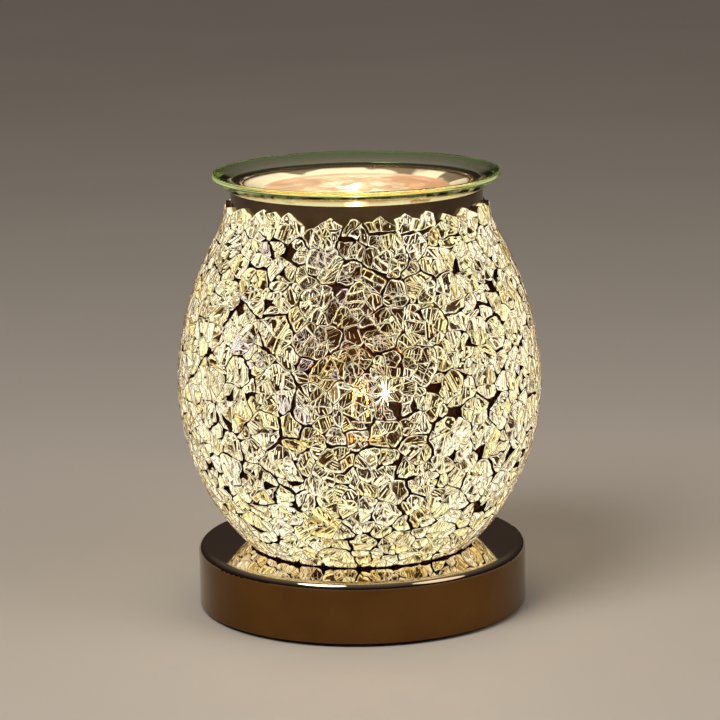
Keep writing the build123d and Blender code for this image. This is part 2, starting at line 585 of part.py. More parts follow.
# ---------------------------------------------------------------- the capsule lamp
with BuildPart() as bulb_capsule:
    # tube with a domed end and the sealed-off tip
    with BuildSketch(Plane.XZ):
        with BuildLine():
            Polyline((0, 72.0), (5.2, 72.0), (CAPSULE_R, 76.5), (CAPSULE_R, CAPSULE_DOME_Z))
            CenterArc((0, CAPSULE_DOME_Z), CAPSULE_R, 0, 90)
            Line((0, CAPSULE_DOME_Z + CAPSULE_R), (0, 72.0))
        make_face()
    revolve(axis=Axis.Z)
    # the sealed-off tip
    with Locations((0, 0, CAPSULE_DOME_Z + CAPSULE_R + 0.3)):
        Cone(1.5, 0.8, 1.6)
    fillet(bulb_capsule.edges().filter_by(GeomType.CIRCLE).group_by(Axis.Z)[-1], 0.5)
    # flat pinch, which stands in the holder
    with BuildSketch(Plane.XY.offset(LAMP_SEAT_Z)):
        RectangleRounded(14.6, 4.6, 0.8)
    extrude(amount=11.0)
    # the hollow with its gas
    with BuildSketch(Plane.XZ):
        with BuildLine():
            Polyline((0, 76.4), (4.9, 77.6), (CAPSULE_R - CAPSULE_WALL, 79.4), (CAPSULE_R - CAPSULE_WALL, CAPSULE_DOME_Z))
            CenterArc((0, CAPSULE_DOME_Z), CAPSULE_R - CAPSULE_WALL, 0, 90)
            Line((0, CAPSULE_DOME_Z + CAPSULE_R - CAPSULE_WALL), (0, 76.4))
        make_face()
    revolve(axis=Axis.Z, mode=Mode.SUBTRACT)
bulb_capsule.part.label = "bulb_capsule"
export_step(bulb_capsule.part, "parts/bulb_capsule.step")

with BuildPart() as bulb_filament:
    with BuildLine() as coil_path:
        FilletPolyline(
            (-3.2, 0, 77.4), (-3.2, 0, 83.5), (-1.7, 0, 93.5), (0, 0, 84.0), (1.7, 0, 93.5), (3.2, 0, 83.5), (3.2, 0, 77.4),
            radius=[2.0, 0.7, 0.7, 0.7, 2.0],
        )
    with BuildSketch(Plane(origin=coil_path.line @ 0, z_dir=coil_path.line % 0)):
        Circle(0.42)
    sweep(path=coil_path.line)
bulb_filament.part.label = "bulb_filament"
export_step(bulb_filament.part, "parts/bulb_filament.step")

with BuildPart() as bulb_pins:
    for side in (-1, 1):
        x0, x1 = side * LAMP_PITCH / 2 - 1.35, side * LAMP_PITCH / 2 + 1.35
        with BuildLine() as pin_path:
            Line((x0, 0, LAMP_SEAT_Z), (x0, 0, 59.6))
            ThreePointArc((x0, 0, 59.6), ((x0 + x1) / 2, 0, 58.25), (x1, 0, 59.6))
            Line((x1, 0, 59.6), (x1, 0, LAMP_SEAT_Z))
        with BuildSketch(Plane(origin=pin_path.line @ 0, z_dir=pin_path.line % 0)):
            Circle(0.45)
        sweep(path=pin_path.line)
bulb_pins.part.label = "bulb_pins"
export_step(bulb_pins.part, "parts/bulb_pins.step")

# ---------------------------------------------------------------- shade
# The blown glass is kept as three rings that meet in flat faces: a foot with the floor, a belly and a neck.
with BuildSketch(Plane.XZ) as shade_section:
    with BuildLine():
        outer_foot, outer_top = layer(MOSAIC_T, SHADE_BOTTOM)
        inner_foot, inner_top = layer(MOSAIC_T + SHADE_T, SHADE_FLOOR_TOP)
        Polyline(outer_top, (outer_top[0], NECK_TOP), (inner_top[0], NECK_TOP), inner_top)
        Polyline(inner_foot, (SHADE_HOLE_R, SHADE_FLOOR_TOP), (SHADE_HOLE_R, SHADE_BOTTOM), outer_foot)
    make_face()

with BuildPart() as shade_foot:
    revolve(shade_section.sketch, axis=Axis.Z)
    split(bisect_by=Plane.XY.offset(SHADE_CUTS[0]), keep=Keep.BOTTOM)
shade_foot.part.label = "shade_foot"
export_step(shade_foot.part, "parts/shade_foot.step")

with BuildPart() as shade_belly:
    revolve(shade_section.sketch, axis=Axis.Z)
    split(bisect_by=Plane.XY.offset(SHADE_CUTS[0]), keep=Keep.TOP)
    split(bisect_by=Plane.XY.offset(SHADE_CUTS[1]), keep=Keep.BOTTOM)
shade_belly.part.label = "shade_belly"
export_step(shade_belly.part, "parts/shade_belly.step")

with BuildPart() as shade_neck:
    revolve(shade_section.sketch, axis=Axis.Z)
    split(bisect_by=Plane.XY.offset(SHADE_CUTS[1]), keep=Keep.TOP)
    # fire-polished lip
    fillet(shade_neck.edges().filter_by(GeomType.CIRCLE).group_by(Axis.Z)[-1], 0.6)
shade_neck.part.label = "shade_neck"
export_step(shade_neck.part, "parts/shade_neck.step")

with BuildPart() as crackle_mosaic:
    # the layer of crackled glass pieces bonded to the outside of the shade
    with BuildSketch(Plane.XZ):
        with BuildLine():
            skin_foot, skin_top = layer(0.0, SHADE_BOTTOM)
            back_foot, back_top = layer(MOSAIC_T, SHADE_BOTTOM)
            Line(skin_top, back_top)
            Line(back_foot, skin_foot)
        make_face()
    revolve(axis=Axis.Z)
    with BuildSketch(Plane.XY.offset(MOSAIC_TOP)):
        Circle(80)
    extrude(amount=6, mode=Mode.SUBTRACT)
crackle_mosaic.part.label = "crackle_mosaic"
export_step(crackle_mosaic.part, "parts/crackle_mosaic.step")

# ---------------------------------------------------------------- dish and wax
with BuildPart() as glass_dish:
    with BuildSketch(Plane.XZ):
        with BuildLine():
            corners, radii = dish_points(DISH_SECTION, (0, DISH_BOTTOM), (0, DISH_FLOOR))
            FilletPolyline(*corners, radius=radii)
            Line((0, DISH_FLOOR), (0, DISH_BOTTOM))
        make_face()
    revolve(axis=Axis.Z)
glass_dish.part.label = "glass_dish"
export_step(glass_dish.part, "parts/glass_dish.step")

with BuildPart() as wax_melt:
    # molten wax, which fills the dish to its level
    with BuildSketch(Plane.XZ):
        with BuildLine():
            corners, radii = dish_points(DISH_SECTION[-2:], DISH_SECTION[-3][:2], (0, DISH_FLOOR))
            FilletPolyline(*corners, radius=radii)
            Polyline((0, DISH_FLOOR), (0, DISH_SECTION[-3][1]), DISH_SECTION[-3][:2])
        make_face()
    revolve(axis=Axis.Z)
    with BuildSketch(Plane.XY.offset(WAX_LEVEL)):
        Circle(70)
    extrude(amount=14, mode=Mode.SUBTRACT)
wax_melt.part.label = "wax_melt"
export_step(wax_melt.part, "parts/wax_melt.step")
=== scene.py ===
"""Looks of the wax melt warmer: crackled chips, glass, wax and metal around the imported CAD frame."""

import json
import math
import random

import bpy
import numpy as np
from mathutils import Matrix, Vector


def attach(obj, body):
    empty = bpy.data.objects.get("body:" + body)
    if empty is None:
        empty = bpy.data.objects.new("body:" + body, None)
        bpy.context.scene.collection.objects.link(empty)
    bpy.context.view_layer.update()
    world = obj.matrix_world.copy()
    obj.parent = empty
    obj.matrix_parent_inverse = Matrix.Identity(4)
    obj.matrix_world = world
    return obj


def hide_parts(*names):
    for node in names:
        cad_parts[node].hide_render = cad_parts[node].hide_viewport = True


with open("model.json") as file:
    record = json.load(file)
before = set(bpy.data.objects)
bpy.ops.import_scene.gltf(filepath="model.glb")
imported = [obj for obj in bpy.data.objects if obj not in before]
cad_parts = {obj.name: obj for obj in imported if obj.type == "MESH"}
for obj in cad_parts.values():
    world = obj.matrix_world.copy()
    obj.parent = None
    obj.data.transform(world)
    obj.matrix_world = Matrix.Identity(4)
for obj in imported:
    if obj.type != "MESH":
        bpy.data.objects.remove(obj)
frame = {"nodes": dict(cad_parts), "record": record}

bpy.context.view_layer.update()
nodes = frame["nodes"]
scene = bpy.context.scene
MM = 0.001

# ---------------------------------------------------------------- the shade's outline, in mm, as in the CAD
MOSAIC_START = (47.21, 27.5)
MOSAIC_HEADING = 47.19
MOSAIC_ARCS = [(79.75, 17.95), (97.09, 37.35), (136.86, 21.24)]
NECK_BLEND_R = 28.0
MOSAIC_LIP = 1.0
MOSAIC_TOP = 171.8
DISH_SECTION = [
    (31.2, 163.4, 8.0), (39.2, 171.0, 5.0), (47.7, 173.6, 0.6), (48.4, 174.5, 0.2), (51.9, 174.5, 0.8),
    (58.7, 179.3, 0.9), (58.7, 181.5, 0.75), (38.2, 174.6, 6.0), (31.0, 167.0, 8.0),
]
WAX_LEVEL = 174.3


def skin_profile(step=0.2, up_to=184.0):
    """Rows of radius, height and outward normal along the outside of the chips, from the foot up, then straight up."""
    rows = []
    r, z = MOSAIC_START
    h = math.radians(MOSAIC_HEADING)
    for t in np.arange(MOSAIC_LIP, 0.0, -step):
        rows.append((r - t * math.sin(h), z - t * math.cos(h), math.cos(h), -math.sin(h)))
    for radius, turn in MOSAIC_ARCS:
        turn = math.radians(turn)
        c = (r - radius * math.cos(h), z + radius * math.sin(h))
        n = int(radius * turn / step)
        for i in range(n):
            a = h - turn * i / n
            rows.append((c[0] + radius * math.cos(a), c[1] - radius * math.sin(a), math.cos(a), -math.sin(a)))
        h -= turn
        r, z = c[0] + radius * math.cos(h), c[1] - radius * math.sin(h)
    c = (r + NECK_BLEND_R * math.cos(h), z - NECK_BLEND_R * math.sin(h))
    n = int(NECK_BLEND_R * abs(h) / step)
    for i in range(n + 1):
        a = h * (1 - i / n)
        rows.append((c[0] - NECK_BLEND_R * math.cos(a), c[1] + NECK_BLEND_R * math.sin(a), math.cos(a), -math.sin(a)))
    r, z = rows[-1][0], rows[-1][1]
    while z < up_to:
        z += step
        rows.append((r, z, 1.0, 0.0))
    return np.array(rows)


SKIN = skin_profile()
SKIN_S = np.concatenate([[0.0], np.cumsum(np.hypot(np.diff(SKIN[:, 0]), np.diff(SKIN[:, 1])))])


def on_skin(s):
    """Radius, height and normal of the skin at arc length s."""
    return tuple(np.interp(s, SKIN_S, SKIN[:, k]) for k in range(4))


def skin_frame(phi, s):
    """Point, azimuth direction, uphill direction and outward normal at one place of the skin, front at phi 0."""
    r, z, nr, nz = (float(x) for x in on_skin(s))
    sp, cp = math.sin(phi), math.cos(phi)
    return (
        np.array((r * sp, -r * cp, z)),
        np.array((cp, sp, 0.0)),
        np.array((-nz * sp, nz * cp, nr)),
        np.array((nr * sp, -nr * cp, nz)),
    )


# ---------------------------------------------------------------- materials
class Nodes:
    """A small helper to build a material's nodes."""

    def __init__(self, name):
        self.mat = bpy.data.materials.new(name)
        self.mat.use_nodes = True
        self.tree = self.mat.node_tree
        self.tree.nodes.clear()
        self.out = self.tree.nodes.new("ShaderNodeOutputMaterial")

    def add(self, kind, settings=None, **inputs):
        n = self.tree.nodes.new("ShaderNode" + kind)
        for k, v in (settings or {}).items():
            setattr(n, k, v)
        for k, v in inputs.items():
            key = int(k[1:]) if k[0] == "_" and k[1:].isdigit() else k.replace("_", " ")
            self.put(n, key, v)
        return n

    def put(self, n, key, v):
        socket = n.inputs[key]
        if isinstance(v, bpy.types.NodeSocket):
            self.tree.links.new(v, socket)
        elif isinstance(v, bpy.types.Node):
            self.tree.links.new(v.outputs[0], socket)
        else:
            socket.default_value = v

    def ramp(self, fac, stops, interpolation="LINEAR"):
        n = self.add("ValToRGB", None, Fac=fac)
        n.color_ramp.interpolation = interpolation
        el = n.color_ramp.elements
        while len(el) > 1:
            el.remove(el[-1])
        el[0].position, el[0].color = stops[0][0], (*stops[0][1], 1.0)
        for p, c in stops[1:]:
            e = el.new(p)
            e.color = (*c, 1.0)
        return n

    def scalar(self, fac, stops):
        return self.ramp(fac, [(p, (v, v, v)) for p, v in stops])

    def surface(self, shader):
        self.tree.links.new(shader.outputs[0], self.out.inputs["Surface"])
        return self.mat

    def coords(self, scale=(1, 1, 1), which="Object"):
        tc = self.add("TexCoord")
        mp = self.add("Mapping", None, Vector=tc.outputs[which])
        mp.inputs["Scale"].default_value = scale
        return mp

    def noise(self, coords, scale, detail=3.0, rough=0.5, distortion=0.0):
        return self.add("TexNoise", None, Vector=coords, Scale=scale, Detail=detail, Roughness=rough, Distortion=distortion)

    def bump(self, height, strength, distance, normal=None):
        b = self.add("Bump", None, Height=height, Strength=strength, Distance=distance)
        if normal is not None:
            self.put(b, "Normal", normal)
        return b


def principled(m, **kw):
    return m.add("BsdfPrincipled", None, **kw)


def simple(name, dark, light, scale, metallic=0.0, rough=(0.3, 0.45), bump=0.15, distance=0.0001, stretch=(1, 1, 1), coat=0.0, subsurface=0.0, ior=1.45):
    """A material whose colour, gloss and fine relief all vary by noise at its own scale (per metre)."""
    m = Nodes(name)
    at = m.coords(stretch)
    a = m.noise(at, scale, 5.0, 0.6)
    b = m.noise(at, scale * 4.7, 3.0, 0.6)
    col = m.ramp(a.outputs["Fac"], [(0.3, dark), (0.7, light)])
    rg = m.scalar(b.outputs["Fac"], [(0.3, rough[0]), (0.7, rough[1])])
    bp = m.bump(b.outputs["Fac"], bump, distance)
    p = principled(m, Base_Color=col, Roughness=rg, Normal=bp)
    p.inputs["Metallic"].default_value = metallic
    p.inputs["IOR"].default_value = ior
    p.inputs["Coat Weight"].default_value = coat
    if subsurface:
        p.inputs["Subsurface Weight"].default_value = subsurface
        p.inputs["Subsurface Radius"].default_value = (0.002, 0.001, 0.0006)
    return m.surface(p)


def chip_wall_material():
    """The cracked faces inside the chips, which scatter the lamp's light and so glow: dark at the lip, bright below it."""
    m = Nodes("chip_wall")
    tint = m.add("VertexColor", {"layer_name": "tint"})
    at = m.coords((1, 1, 1))
    hackle = m.noise(at, 1300.0, 2.0, 0.6)
    cloud = m.noise(at, 210.0, 2.0, 0.5)
    fine = m.scalar(hackle.outputs["Fac"], [(0.30, 0.86), (0.55, 1.16)])
    broad = m.scalar(cloud.outputs["Fac"], [(0.32, 0.95), (0.60, 1.22)])
    down = m.ramp(tint.outputs["Alpha"], [(0.0, (0.075, 0.030, 0.004)), (0.07, (0.26, 0.13, 0.035)), (0.12, (1.12, 1.10, 1.05)), (0.55, (1.06, 1.03, 0.96)), (1.0, (0.62, 0.52, 0.34))])
    level = m.add("Math", {"operation": "MULTIPLY"}, _0=fine.outputs[0], _1=broad.outputs[0])
    lit = m.add("MixRGB", {"blend_type": "MULTIPLY"}, Fac=1.0, Color1=tint.outputs["Color"], Color2=down.outputs[0])
    glow = m.add("Emission", None, Color=lit.outputs[0], Strength=level.outputs[0])
    return m.surface(glow)


def chip_glass_material():
    """The polished outside of a chip: clear with a faint gloss, frosted along its cracks with painted lamp light
    glowing there, with dark comb-like cracks.
    """
    m = Nodes("chip_glass")
    tint = m.add("VertexColor", {"layer_name": "tint"})
    grain = m.add("Attribute", {"attribute_name": "grain"})
    at = m.coords((1, 1, 1))
    wave = m.noise(at, 420.0, 2.0, 0.5)
    bp = m.bump(wave.outputs["Fac"], 0.5, 0.0004)
    fres = m.add("Fresnel", None, Normal=bp)
    fres.inputs["IOR"].default_value = 1.18
    clear = m.add("BsdfTransparent", None)
    clear.inputs["Color"].default_value = (0.98, 0.95, 0.88, 1)
    gloss = m.add("BsdfAnisotropic", None, Normal=bp)
    gloss.inputs["Roughness"].default_value = 0.08
    gloss.inputs["Color"].default_value = (1, 1, 1, 1)
    polished = m.add("MixShader", None, _0=fres, _1=clear, _2=gloss)
    # frosted band, glowing with painted lamp light: strongest at a crack, gone towards the middle of the piece
    ragged = m.noise(at, 480.0, 3.0, 0.65)
    push = m.add("Math", {"operation": "MULTIPLY_ADD"}, _0=ragged.outputs["Fac"], _1=1.4, _2=-0.66)
    reach = m.add("Math", {"operation": "ADD"}, _0=tint.outputs["Alpha"], _1=push.outputs[0])
    frost_glow_mask = m.scalar(reach.outputs[0], [(0.0, 0.98), (0.16, 0.70), (0.34, 0.12), (0.56, 0.0)])
    # hairlines: a finer web of cracks glowing with the same painted lamp light, bent by noise
    bend = m.noise(at, 260.0, 2.0, 0.5)
    warped = m.add("VectorMath", {"operation": "MULTIPLY_ADD"}, _0=bend.outputs["Color"], _1=(0.0016, 0.0016, 0.0016), _2=at.outputs[0])
    web = m.add("TexVoronoi", {"feature": "DISTANCE_TO_EDGE"}, Vector=warped.outputs[0], Scale=300.0)
    hair = m.scalar(web.outputs["Distance"], [(0.0, 0.75), (0.022, 0.45), (0.042, 0.0)])
    some = m.noise(at, 150.0, 1.0, 0.5)
    where = m.scalar(some.outputs["Fac"], [(0.50, 0.0), (0.58, 1.0)])
    hair = m.add("Math", {"operation": "MULTIPLY"}, _0=hair.outputs[0], _1=where.outputs[0])
    both = m.add("Math", {"operation": "MAXIMUM"}, _0=frost_glow_mask.outputs[0], _1=hair.outputs[0])
    glow = m.add("Emission", None, Color=tint.outputs["Color"], Strength=1.1)
    frosted = m.add("MixShader", None, _0=both.outputs[0], _1=polished, _2=glow)
    # comb: short dark cracks side by side across a piece, in its own direction
    sway = m.noise(at, 330.0, 1.0, 0.5)
    axes = m.add("SeparateXYZ", None, _0=grain.outputs["Vector"])
    across = m.add("Math", {"operation": "MULTIPLY_ADD"}, _0=sway.outputs["Fac"], _1=1.5, _2=axes.outputs["X"])
    line = m.add("Math", {"operation": "PINGPONG"}, _0=across.outputs[0], _1=0.5)
    line = m.scalar(line.outputs[0], [(0.05, 1.0), (0.17, 0.0)])
    broken = m.noise(grain.outputs["Vector"], 0.55, 2.0, 0.6)
    there = m.add("Math", {"operation": "MULTIPLY_ADD"}, _0=axes.outputs["Z"], _1=0.16, _2=broken.outputs["Fac"])
    there = m.scalar(there.outputs[0], [(0.57, 0.0), (0.65, 0.88)])
    comb = m.add("Math", {"operation": "MULTIPLY"}, _0=line.outputs[0], _1=there.outputs[0])
    dark = m.add("Emission", None, Strength=1.0)
    dark.inputs["Color"].default_value = (0.048, 0.021, 0.004, 1)
    mix = m.add("MixShader", None, _0=comb.outputs[0], _1=frosted, _2=dark)
    return m.surface(mix)


def chip_joint_material():
    """The dark adhesive between the chips."""
    m = Nodes("chip_joint")
    at = m.coords((1, 1, 1))
    grain = m.noise(at, 700.0, 3.0, 0.6)
    tone = m.ramp(grain.outputs["Fac"], [(0.3, (0.036, 0.014, 0.002)), (0.7, (0.080, 0.040, 0.010))])
    bp = m.bump(grain.outputs["Fac"], 0.3, 0.0001)
    p = principled(m, Base_Color=tone, Normal=bp)
    p.inputs["Roughness"].default_value = 0.35
    p.inputs["Specular IOR Level"].default_value = 0.25
    return m.surface(p)


def shade_glass_material():
    """Smoke-brown blown glass, half mirrored, with the inside of its neck lit by the lamp."""
    m = Nodes("shade_smoke")
    at = m.coords((1, 1, 1))
    cloud = m.noise(at, 55.0, 3.0, 0.6)
    bp = m.bump(cloud.outputs["Fac"], 0.25, 0.0006)
    tone = m.ramp(cloud.outputs["Fac"], [(0.3, (0.046, 0.020, 0.006)), (0.7, (0.080, 0.040, 0.013))])
    tc = m.add("TexCoord")
    axes = m.add("SeparateXYZ", None, _0=tc.outputs["Object"])
    collar = m.scalar(axes.outputs["Z"], [(0.160, 0.0), (0.168, 1.0)])
    paler = m.ramp(cloud.outputs["Fac"], [(0.3, (0.062, 0.034, 0.014)), (0.7, (0.100, 0.060, 0.026))])
    tone = m.add("MixRGB", None, Fac=collar.outputs[0], Color1=tone.outputs[0], Color2=paler.outputs[0])
    body = principled(m, Base_Color=tone.outputs[0], Normal=bp)
    body.inputs["Roughness"].default_value = 0.12
    body.inputs["IOR"].default_value = 1.52
    body.inputs["Specular IOR Level"].default_value = 0.3
    body.inputs["Coat Weight"].default_value = 0.1
    body.inputs["Coat Roughness"].default_value = 0.04
    clear = m.add("BsdfTransparent", None)
    clear.inputs["Color"].default_value = (0.70, 0.46, 0.28, 1)
    dense = m.scalar(axes.outputs["Z"], [(0.160, 0.62), (0.168, 0.93)])
    mix = m.add("MixShader", None, _0=dense.outputs[0], _1=clear, _2=body)
    # the lit inner wall of the neck
    flat = m.add("CombineXYZ", None, _0=axes.outputs["X"], _1=axes.outputs["Y"])
    radius = m.add("VectorMath", {"operation": "LENGTH"}, _0=flat.outputs[0])
    inside = m.scalar(m.add("Math", {"operation": "MULTIPLY"}, _0=radius.outputs["Value"], _1=10.0).outputs[0], [(0.484, 1.0), (0.488, 0.0)])
    up = m.scalar(axes.outputs["Z"], [(0.146, 0.0), (0.164, 1.0)])
    lit = m.add("Math", {"operation": "MULTIPLY"}, _0=inside.outputs[0], _1=up.outputs[0])
    sheen = m.noise(at, 90.0, 2.0, 0.5)
    warm = m.ramp(sheen.outputs["Fac"], [(0.3, (0.86, 0.66, 0.36)), (0.7, (1.0, 0.86, 0.56))])
    glow = m.add("Emission", None, Color=warm.outputs[0], Strength=1.0)
    both = m.add("MixShader", None, _0=lit.outputs[0], _1=mix, _2=glow)
    return m.surface(both)


def dish_glass_material():
    """Clear soda glass with a green body, which lets the lamp's light through to the wax."""
    m = Nodes("dish_clear")
    at = m.coords((1, 1, 1))
    wave = m.noise(at, 60.0, 2.0, 0.4)
    bp = m.bump(wave.outputs["Fac"], 0.12, 0.0005)
    tc = m.add("TexCoord")
    axes = m.add("SeparateXYZ", None, _0=tc.outputs["Object"])
    flat = m.add("CombineXYZ", None, _0=axes.outputs["X"], _1=axes.outputs["Y"])
    radius = m.add("VectorMath", {"operation": "LENGTH"}, _0=flat.outputs[0])
    out = m.add("Math", {"operation": "MULTIPLY"}, _0=radius.outputs["Value"], _1=10.0)
    green = m.ramp(out.outputs[0], [(0.47, (0.93, 0.91, 0.85)), (0.52, (0.70, 0.72, 0.64)), (0.566, (0.60, 0.67, 0.52)), (0.580, (0.52, 0.68, 0.46))])
    glass = m.add("BsdfGlass", None, Color=green.outputs[0], Normal=bp)
    glass.inputs["Roughness"].default_value = 0.0
    glass.inputs["IOR"].default_value = 1.5
    clear = m.add("BsdfTransparent", None)
    clear.inputs["Color"].default_value = (0.9, 0.92, 0.82, 1)
    path = m.add("LightPath")
    mix = m.add("MixShader", None, _0=path.outputs["Is Shadow Ray"], _1=glass, _2=clear)
    # the underside of the well's sloping wall, which hangs in the lit neck of the shade
    ring = m.scalar(out.outputs[0], [(0.384, 0.0), (0.394, 1.0), (0.462, 1.0), (0.472, 0.0)])
    under = m.scalar(m.add("Math", {"operation": "MULTIPLY"}, _0=axes.outputs["Z"], _1=4.0).outputs[0], [(0.6948, 1.0), (0.6956, 0.0)])
    swirl = m.noise(at, 34.0, 1.0, 0.4, 0.8)
    shown = m.scalar(swirl.outputs["Fac"], [(0.40, 0.15), (0.45, 0.95)])
    lit = m.add("Math", {"operation": "MULTIPLY"}, _0=ring.outputs[0], _1=under.outputs[0])
    # the lamp's glint in that wall, at the front
    beside = m.add("Math", {"operation": "ABSOLUTE"}, _0=axes.outputs["X"])
    narrow = m.scalar(m.add("Math", {"operation": "MULTIPLY"}, _0=beside.outputs[0], _1=100.0).outputs[0], [(0.06, 1.0), (0.50, 0.0)])
    front = m.scalar(m.add("Math", {"operation": "MULTIPLY"}, _0=axes.outputs["Y"], _1=-10.0).outputs[0], [(0.30, 0.0), (0.36, 1.0)])
    glint = m.add("Math", {"operation": "MULTIPLY"}, _0=narrow.outputs[0], _1=front.outputs[0])
    shown = m.add("Math", {"operation": "MAXIMUM"}, _0=shown.outputs[0], _1=glint.outputs[0])
    lit = m.add("Math", {"operation": "MULTIPLY"}, _0=lit.outputs[0], _1=shown.outputs[0])
    power = m.scalar(glint.outputs[0], [(0.0, 1.55), (1.0, 7.0)])
    glow = m.add("Emission", None, Strength=power.outputs[0])
    glow.inputs["Color"].default_value = (1.0, 0.84, 0.54, 1)
    both = m.add("MixShader", None, _0=lit.outputs[0], _1=mix, _2=glow)
    return m.surface(both)


def wax_material():
    """Molten peach wax with the lamp behind it: glowing, oily and a little uneven."""
    m = Nodes("molten_wax")
    at = m.coords((1, 1, 1))
    cloud = m.noise(at, 55.0, 4.0, 0.55, 0.6)
    fine = m.noise(at, 240.0, 2.0, 0.5)
    colour = m.ramp(cloud.outputs["Fac"], [(0.30, (0.78, 0.36, 0.16)), (0.55, (0.95, 0.61, 0.34)), (0.75, (0.99, 0.78, 0.50))])
    bp = m.bump(fine.outputs["Fac"], 0.06, 0.0004)
    tc = m.add("TexCoord")
    away = m.add("VectorMath", {"operation": "DISTANCE"}, _0=tc.outputs["Object"], _1=(-0.0012, -0.0015, 0.1743))
    # painted highlight: a small bright spot near the middle of the pool, over a painted lamp glow that fades outwards
    lamp_glow_and_highlight = m.scalar(m.add("Math", {"operation": "MULTIPLY"}, _0=away.outputs["Value"], _1=1 / 0.040), [(0.0, 60.0), (0.022, 42.0), (0.045, 8.0), (0.085, 1.6), (0.20, 1.0), (0.5, 0.84), (1.0, 0.74)])
    near = m.scalar(m.add("Math", {"operation": "MULTIPLY"}, _0=away.outputs["Value"], _1=1 / 0.040).outputs[0], [(0.0, 1.0), (0.38, 0.9), (0.58, 0.0)])
    clot = m.noise(at, 125.0, 2.0, 0.5)
    clot = m.scalar(clot.outputs["Fac"], [(0.50, 0.0), (0.58, 1.0)])
    lump = m.add("Math", {"operation": "MULTIPLY"}, _0=near.outputs[0], _1=clot.outputs[0])
    colour = m.add("MixRGB", None, Fac=lump.outputs[0], Color1=colour.outputs[0], Color2=(1.0, 0.90, 0.56, 1))
    p = principled(m, Base_Color=colour, Normal=bp, Emission_Color=colour, Emission_Strength=lamp_glow_and_highlight)
    p.inputs["Roughness"].default_value = 0.12
    p.inputs["Subsurface Weight"].default_value = 0.35
    p.inputs["Subsurface Radius"].default_value = (0.006, 0.003, 0.0015)
    p.inputs["Coat Weight"].default_value = 0.5
    p.inputs["Coat Roughness"].default_value = 0.03
    return m.surface(p)


def chrome_material():
    """Mirror-polished plate with a warm cast, its faintest polishing marks running round, and a painted dark reflection
    on its side and rounded edge.
    """
    m = Nodes("chrome_painted_dark_side")
    at = m.coords((1, 1, 1))
    cloud = m.noise(at, 30.0, 4.0, 0.6)
    fine = m.noise(at, 900.0, 2.0, 0.5)
    tc = m.add("TexCoord")
    height = m.add("SeparateXYZ", None, _0=tc.outputs["Object"])
    # painted reflection and shade: the side wall and its rounded edge are painted dark brown, which also dulls the
    # edge's highlight; the flat top keeps the brighter bare colour
    painted_dark_side_mask = m.scalar(height.outputs["Z"], [(0.02605, 0.0), (0.02646, 1.0)])
    side = m.ramp(cloud.outputs["Fac"], [(0.3, (0.129, 0.060, 0.016)), (0.7, (0.171, 0.082, 0.024))])
    top = m.ramp(cloud.outputs["Fac"], [(0.3, (0.86, 0.74, 0.54)), (0.7, (0.92, 0.80, 0.60))])
    colour = m.add("MixRGB", None, Fac=painted_dark_side_mask.outputs[0], Color1=side.outputs[0], Color2=top.outputs[0])
    rough = m.scalar(fine.outputs["Fac"], [(0.3, 0.035), (0.7, 0.075)])
    bp = m.bump(cloud.outputs["Fac"], 0.05, 0.0006)
    p = principled(m, Base_Color=colour.outputs[0], Roughness=rough, Normal=bp)
    p.inputs["Metallic"].default_value = 1.0
    return m.surface(p)


def filament_material():
    m = Nodes("hot_tungsten")
    at = m.coords((1, 1, 1))
    coil = m.add("TexWave", {"wave_type": "BANDS", "bands_direction": "Z"}, Vector=at, Scale=900.0, Distortion=0.0)
    level = m.scalar(coil.outputs["Fac"], [(0.2, 0.7), (0.8, 1.0)])
    colour = m.add("MixRGB", {"blend_type": "MULTIPLY"}, Fac=1.0, Color1=(1.0, 0.80, 0.50, 1), Color2=level.outputs[0])
    glow = m.add("Emission", None, Color=colour.outputs[0])
    glow.inputs["Strength"].default_value = 220.0
    return m.surface(glow)


def quartz_material():
    m = Nodes("quartz_clear")
    at = m.coords((1, 1, 1))
    wave = m.noise(at, 300.0, 2.0, 0.5)
    bp = m.bump(wave.outputs["Fac"], 0.2, 0.0002)
    fres = m.add("Fresnel", None, Normal=bp)
    fres.inputs["IOR"].default_value = 1.46
    clear = m.add("BsdfTransparent", None)
    clear.inputs["Color"].default_value = (0.98, 0.98, 0.97, 1)
    gloss = m.add("BsdfAnisotropic", None, Normal=bp)
    gloss.inputs["Roughness"].default_value = 0.05
    mix = m.add("MixShader", None, _0=fres, _1=clear, _2=gloss)
    return m.surface(mix)


def floor_material():
    m = Nodes("stage_floor")
    at = m.coords((1, 1, 1))
    a = m.noise(at, 4.0, 4.0, 0.5)
    b = m.noise(at, 160.0, 3.0, 0.6)
    colour = m.ramp(a.outputs["Fac"], [(0.3, (0.78, 0.73, 0.66)), (0.7, (0.82, 0.77, 0.70))])
    bp = m.bump(b.outputs["Fac"], 0.05, 0.0003)
    p = principled(m, Base_Color=colour, Normal=bp)
    p.inputs["Roughness"].default_value = 0.55
    return m.surface(p)


